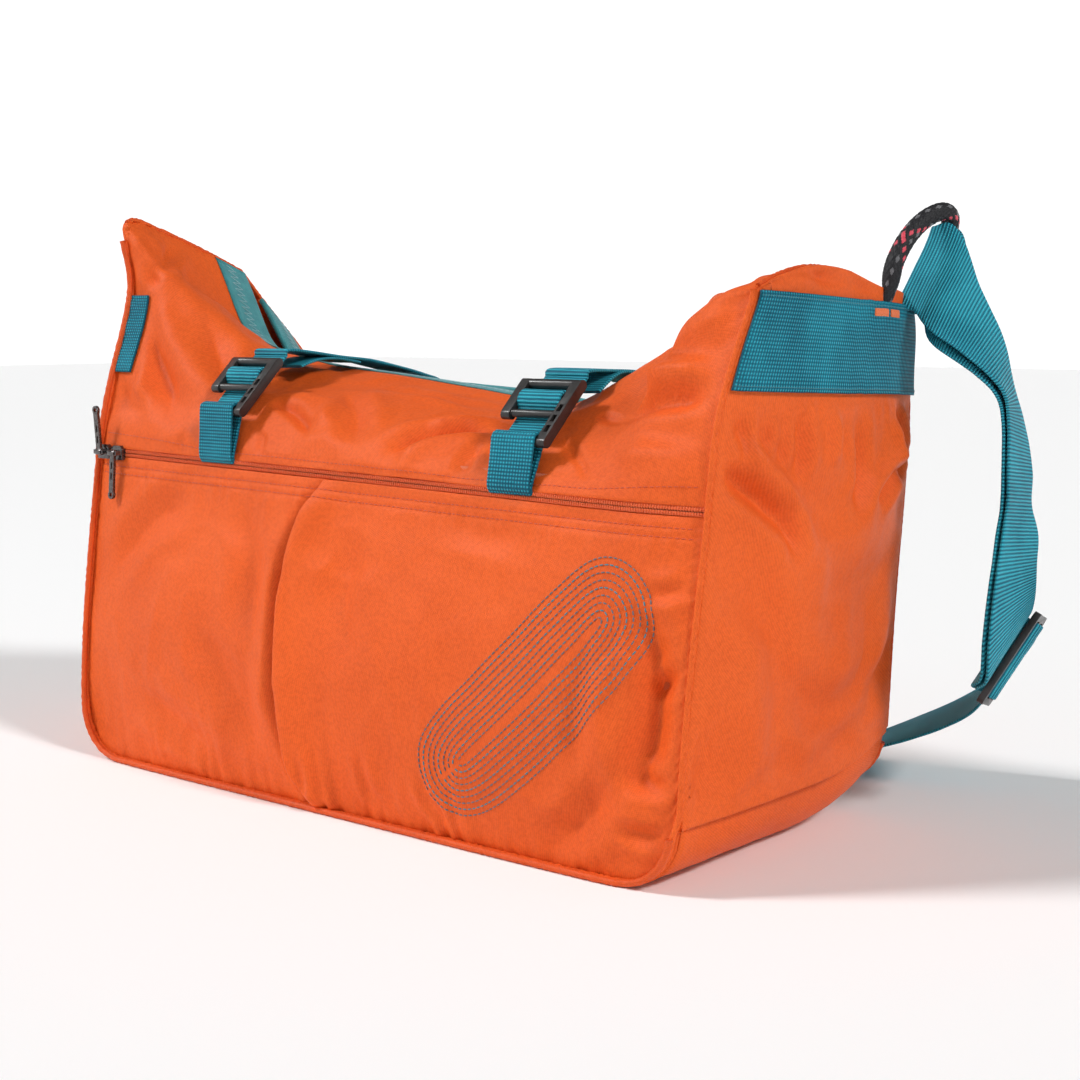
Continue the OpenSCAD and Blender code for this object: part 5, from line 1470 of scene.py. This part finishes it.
for i, nm in enumerate(("left", "right")):
    bk = "buckle_" + nm
    loc = [(4.3, 8), (4.3, 12), (4.2, 18.5), (3, 22.4), (0, 24.6), (-2.8, 26.8), (-3.8, 30), (-2.8, 33.2), (0, 35.3), (3.7, 37.4), (5.1, 41.5), (5.3, 46), (5.4, 51.7), (6, 58)]
    q = np.array([0.55, 0.75, 0.9, 1.0, 1.2, 1.4, 1.6, 1.8, 2.0])
    C = np.concatenate([np.array([bk_pt(i, *p) for p in loc]), over_top(CX[i], q, 4.6 - 2.6 * np.maximum(q - 1, 0))])
    C = crv(C, np.linspace(0, 1, 151))
    strap_b = strap_mesh("compression_strap_webbing_" + nm, C, np.tile([1.0, 0, 0], (151, 1)), 30, 1.6, M_WEB, wave=0.22, seed=5 + i, ortho=True,
                         ride=False, slot="strap_webbing")
    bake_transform(strap_b)
    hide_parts("compression_strap_" + nm, "strap_end_" + nm)
    q = np.linspace(0.10, 0.72, 30)
    C = over_top(CX[i], q, np.full(30, 2.3) + 1.1 * np.sin(np.linspace(0, math.pi, 30)))
    C[:, 0] += np.linspace(2.5, -1.0, 30)
    strap_mesh("strap_tail_" + nm, C, np.tile([1.0, 0.0, 0.0], (30, 1)), 30, 1.6, M_WEB, wave=0.3, seed=9 + i, ortho=True, slot="strap_webbing")
    # sewn loop over the hook bar
    h = BK[i][1:]
    e = np.array([-87.4, zip_line(CX[i]) + 5])
    dd = (e - h) / np.linalg.norm(e - h)
    mm_ = np.array([dd[1], -dd[0]])
    un = lambda v: v / np.linalg.norm(v)
    R0 = 4.1
    pts = [e + [-1.1, 0], 0.5 * (e + [-1.1, 0] + h + R0 * mm_), h + R0 * mm_, h + R0 * un(mm_ - dd), h - R0 * dd, h + R0 * un(-mm_ - dd), h - R0 * mm_,
           0.5 * (e + [1.1, 0] + h - R0 * mm_), e + [1.1, 0]]
    low = [np.array([-86.4, zip_line(CX[i]) + 0.5])]
    C = np.array([[CX[i], p[0], p[1]] for p in low + pts + [np.array([-85.6, zip_line(CX[i]) + 0.5])]])
    C = crv(C, np.linspace(0, 1, 91))
    strap_mesh("buckle_loop_webbing_" + nm, C, np.tile([1.0, 0, 0], (91, 1)), 30, 1.6, M_BAND, wave=0.12, seed=15 + i, ortho=True, replaces=["buckle_loop_" + nm], slot="strap_webbing")
    cad_copy("hook_buckle_frame_" + nm, "hook_buckle_" + nm, M_PLASTIC, 1.1, 3, body=bk, angle=30)

# ------------------------------------------------------------------ rope handles
ROPE_R = np.array([[248.6, 76.5, 284], [249.2, 77.0, 292], [250.6, 78.5, 302], [251.6, 82, 316], [253.4, 92, 329.5], [257, 103.5, 339.5], [261, 115, 344.5], [262, 123.4, 343], [260.5, 127.3, 336.5], [257.2, 125.5, 325],
                   [253.4, 121.6, 314.5], [249.2, 116.6, 305], [245.4, 112.6, 298.5], [242.6, 110.8, 294]])
ROPE_L = np.array([[-237, 102, 236], [-242, 112, 238.5], [-248, 123, 240], [-252, 134, 240], [-257, 152, 239], [-262, 170, 236], [-265, 186, 229], [-265.5, 192, 219], [-263, 190.5, 209], [-259.5, 184, 204.6],
                   [-258, 175, 204], [-258, 152, 204], [-257.8, 136, 204], [-255.5, 127.5, 204.5], [-250, 121.5, 206], [-243.5, 112, 207], [-238, 102, 208]])


def rope_mat():
    n = Nodes("rope_sheath_black")
    ob = n.obj()
    f = n.noise(ob, 2600.0, 2.0)
    n.set(rough=0.5, spec=0.22, sheen=0.02, sheen_rough=0.4)
    return n.out(n.mix(n.maprange(f, 0.35, 0.7, 0, 1), (0.006, 0.006, 0.007), (0.030, 0.030, 0.034)), None, n.bump(f, 0.00012, 0.7))


def fleck_mat(name, c, dk):
    n = Nodes(name)
    f = n.noise(n.obj(), 2600.0, 2.0)
    n.set(rough=0.5, spec=0.4, sheen=0.3)
    return n.out(n.mix(f, c, dk), None, n.bump(f, 0.00012, 0.7))


M_ROPE, M_FLECK = rope_mat(), fleck_mat("rope_sheath_fleck", (0.80, 0.06, 0.10), (0.45, 0.02, 0.05))
M_ROPE_G = fleck_mat("rope_sheath_grey", (0.16, 0.16, 0.17), (0.05, 0.05, 0.055))


def braid(name, P, r, node, strands=12, pitch=4.4):
    C = crv(P, np.linspace(0, 1, 600))
    L = np.concatenate([[0], np.cumsum(np.linalg.norm(np.diff(C, axis=0), axis=1))])
    n = int(L[-1] / 0.5)
    q = np.linspace(0, L[-1], n)
    C = np.stack([np.interp(q, L, C[:, i]) for i in range(3)], -1)
    k = 72
    th = np.arange(k) / k * 2 * np.pi
    A = strands * th[None] / (2 * np.pi) + q[:, None] / pitch
    B = strands * th[None] / (2 * np.pi) - q[:, None] / pitch
    ia, ib = np.floor(A).astype(int), np.floor(B).astype(int)
    fa, fb = A - ia, B - ib
    over = (ia + ib) % 2 == 0
    ha = np.sqrt(np.clip(1 - (2 * fa - 1) ** 2, 0, 1)) * (0.75 + 0.25 * np.sin(np.pi * fb))
    hb_ = np.sqrt(np.clip(1 - (2 * fb - 1) ** 2, 0, 1)) * (0.75 + 0.25 * np.sin(np.pi * fa))
    h = np.where(over, ha, hb_)
    fil = 0.07 * np.sin(2 * np.pi * 4 * np.where(over, fa, fb))
    R = r - 0.45 + 0.62 * h + fil
    Rg = tube_rings(C, R, k)
    if node.endswith("right"):
        thin = 1 - 0.62 * (1 - smooth_step(q, 9.0, 26.0))
        Rg[..., 0] = C[:, None, 0] + (Rg[..., 0] - C[:, None, 0]) * thin[:, None]
    V, F, uv = ring_solid(Rg)
    F = orient_fast(V, F)
    col = np.where(over & (ia % strands == 0), 1, 0) + np.where(~over & (ib % strands == 3), 1, 0)
    col = np.where((col == 0) & (((ia * 7 + ib * 3) % 11) == 0), 2, col)
    mi = np.zeros(len(F), int)
    mi[: (n - 1) * k] = np.minimum(col, 2)[:-1].ravel()
    make(name, V, F, [M_ROPE, M_FLECK, M_ROPE_G], uv=uv, mat_index=mi.tolist(), replaces=[node], slot="cord_rope")


braid("rope_handle_braid_right", ROPE_R, 5.0, "rope_handle_right")
braid("rope_handle_braid_left", ROPE_L, 5.0, "rope_handle_left")

# ------------------------------------------------------------------ tie-in loops on the base, inside
for nm, x in (("left", -186.0), ("right", 186.0)):
    b0 = 3.6
    pts = [[x, 16, b0 + 0.8], [x, 11.6, b0 + 1.6], [x, 10.8, b0 + 8], [x, 10.8, b0 + 30], [x, 13.5, b0 + 36.5], [x, 20, b0 + 39.2], [x, 26.5, b0 + 36.5], [x, 29.2, b0 + 30],
           [x, 29.2, b0 + 8], [x, 28.4, b0 + 1.6], [x, 24, b0 + 0.8]]
    C = crv(np.array(pts, float), np.linspace(0, 1, 80))
    strap_mesh("tie_in_loop_webbing_" + nm, C, np.tile([1.0, 0, 0], (80, 1)), 20, 1.6, M_WEB, wave=0.15, seed=25, ortho=True, replaces=["tie_in_loop_" + nm], slot="strap_webbing")

# ------------------------------------------------------------------ plain nested ovals stitched on the pocket
def stitch_line(pts, dash, gap, out_a, out_b, lift=0.22, closed=False):
    pts = np.asarray(pts, float)
    L = np.concatenate([[0], np.cumsum(np.linalg.norm(np.diff(pts, axis=0), axis=1))])
    s = np.arange(0.3, L[-1] - dash, dash + gap)
    f = lambda q: np.stack([np.interp(q, L, pts[:, 0]), np.interp(q, L, pts[:, 1])], -1)
    a_, b_ = f(s), f(s + dash)
    out_a.append(on_pocket(a_[:, 0], a_[:, 1], lift))
    out_b.append(on_pocket(b_[:, 0], b_[:, 1], lift))


E0, E1 = np.array([209.0, 158.0]), np.array([80.0, 28.0])
ax = (E1 - E0) / np.linalg.norm(E1 - E0)
px_ = np.array([-ax[1], ax[0]])
LEN = np.linalg.norm(E1 - E0)
GA, GB_, TA, TB_ = [], [], [], []


def oval(a, b):
    """One ring of the pattern: a long oval about the middle of the axis, half as long as a and half as wide as b (mm)."""
    out = []
    for th in np.linspace(0, 2 * math.pi, 121):
        t = LEN / 2 + (a - b) * math.tanh(2.6 * math.cos(th)) / math.tanh(2.6) + b * math.cos(th)
        out.append(E0 + ax * t + px_ * (b * math.sin(th) + 5 * math.sin(math.pi * t / LEN)))
    return out


for k in range(9):
    stitch_line(oval(61 + 3.7 * k, 3.4 + 3.7 * k), 2.3, 0.9, *((GA, GB_) if k % 3 != 1 else (TA, TB_)))
V, F = capsules(np.concatenate(GA), np.concatenate(GB_), 0.42, 6)
make("pocket_oval_stitching_grey", V, F, M_THREAD_G, slot="stitch_thread")
V, F = capsules(np.concatenate(TA), np.concatenate(TB_), 0.42, 6)
make("pocket_oval_stitching_teal", V, F, M_THREAD_T, slot="stitch_thread")

# ------------------------------------------------------------------ floor and light
def floor_mat():
    n = Nodes("studio_floor")
    n.set(rough=0.9, spec=0.2)
    return n.out((0.96, 0.96, 0.96))


fme = bpy.data.meshes.new("floor")
fme.from_pydata([(-9, -9, 0), (9, -9, 0), (9, 9, 0), (-9, 9, 0)], [], [(0, 1, 2, 3)])
fme.materials.append(floor_mat())
floor = link(bpy.data.objects.new("floor", fme))

world = bpy.data.worlds.new("studio")
scene.world = world
world.use_nodes = True
world.node_tree.nodes["Background"].inputs["Color"].default_value = (1.0, 1.0, 1.0, 1)
wt = world.node_tree
sky_tc, sky_xyz, sky_mr = wt.nodes.new("ShaderNodeTexCoord"), wt.nodes.new("ShaderNodeSeparateXYZ"), wt.nodes.new("ShaderNodeMapRange")
sky_mr.interpolation_type = "SMOOTHSTEP"
for nm_, v_ in (("From Min", 0.17), ("From Max", 0.28), ("To Min", 1.12), ("To Max", 0.17)):
    sky_mr.inputs[nm_].default_value = v_
wt.links.new(sky_tc.outputs["Generated"], sky_xyz.inputs[0])
wt.links.new(sky_xyz.outputs["Z"], sky_mr.inputs["Value"])
wt.links.new(sky_mr.outputs["Result"], wt.nodes["Background"].inputs["Strength"])


def area(name, loc, target, size, power, col=(1, 1, 1)):
    l = bpy.data.lights.new(name, "AREA")
    l.shape = "RECTANGLE"
    l.size, l.size_y = size
    l.energy = power
    l.color = col
    ob = link(bpy.data.objects.new(name, l))
    dv = Vector(target) - Vector(loc)
    ob.rotation_euler = dv.to_track_quat("-Z", "Y").to_euler()
    ob.location = loc
    return ob


def sun(name, direction, energy, angle, col=(1, 1, 1)):
    l = bpy.data.lights.new(name, "SUN")
    l.energy = energy
    l.angle = math.radians(angle)
    l.color = col
    ob = link(bpy.data.objects.new(name, l))
    ob.rotation_euler = (-Vector(direction)).to_track_quat("-Z", "Y").to_euler()
    ob.location = Vector(direction) * 3
    return ob


sun("key_left", (-0.62, -0.52, 0.80), 1.95, 11)
sun("key_right", (0.92, -0.06, 0.78), 1.6, 11)
area("left_fill", (-1.5, -1.4, 1.1), (0, 0, 0.15), (0.8, 0.8), 3)
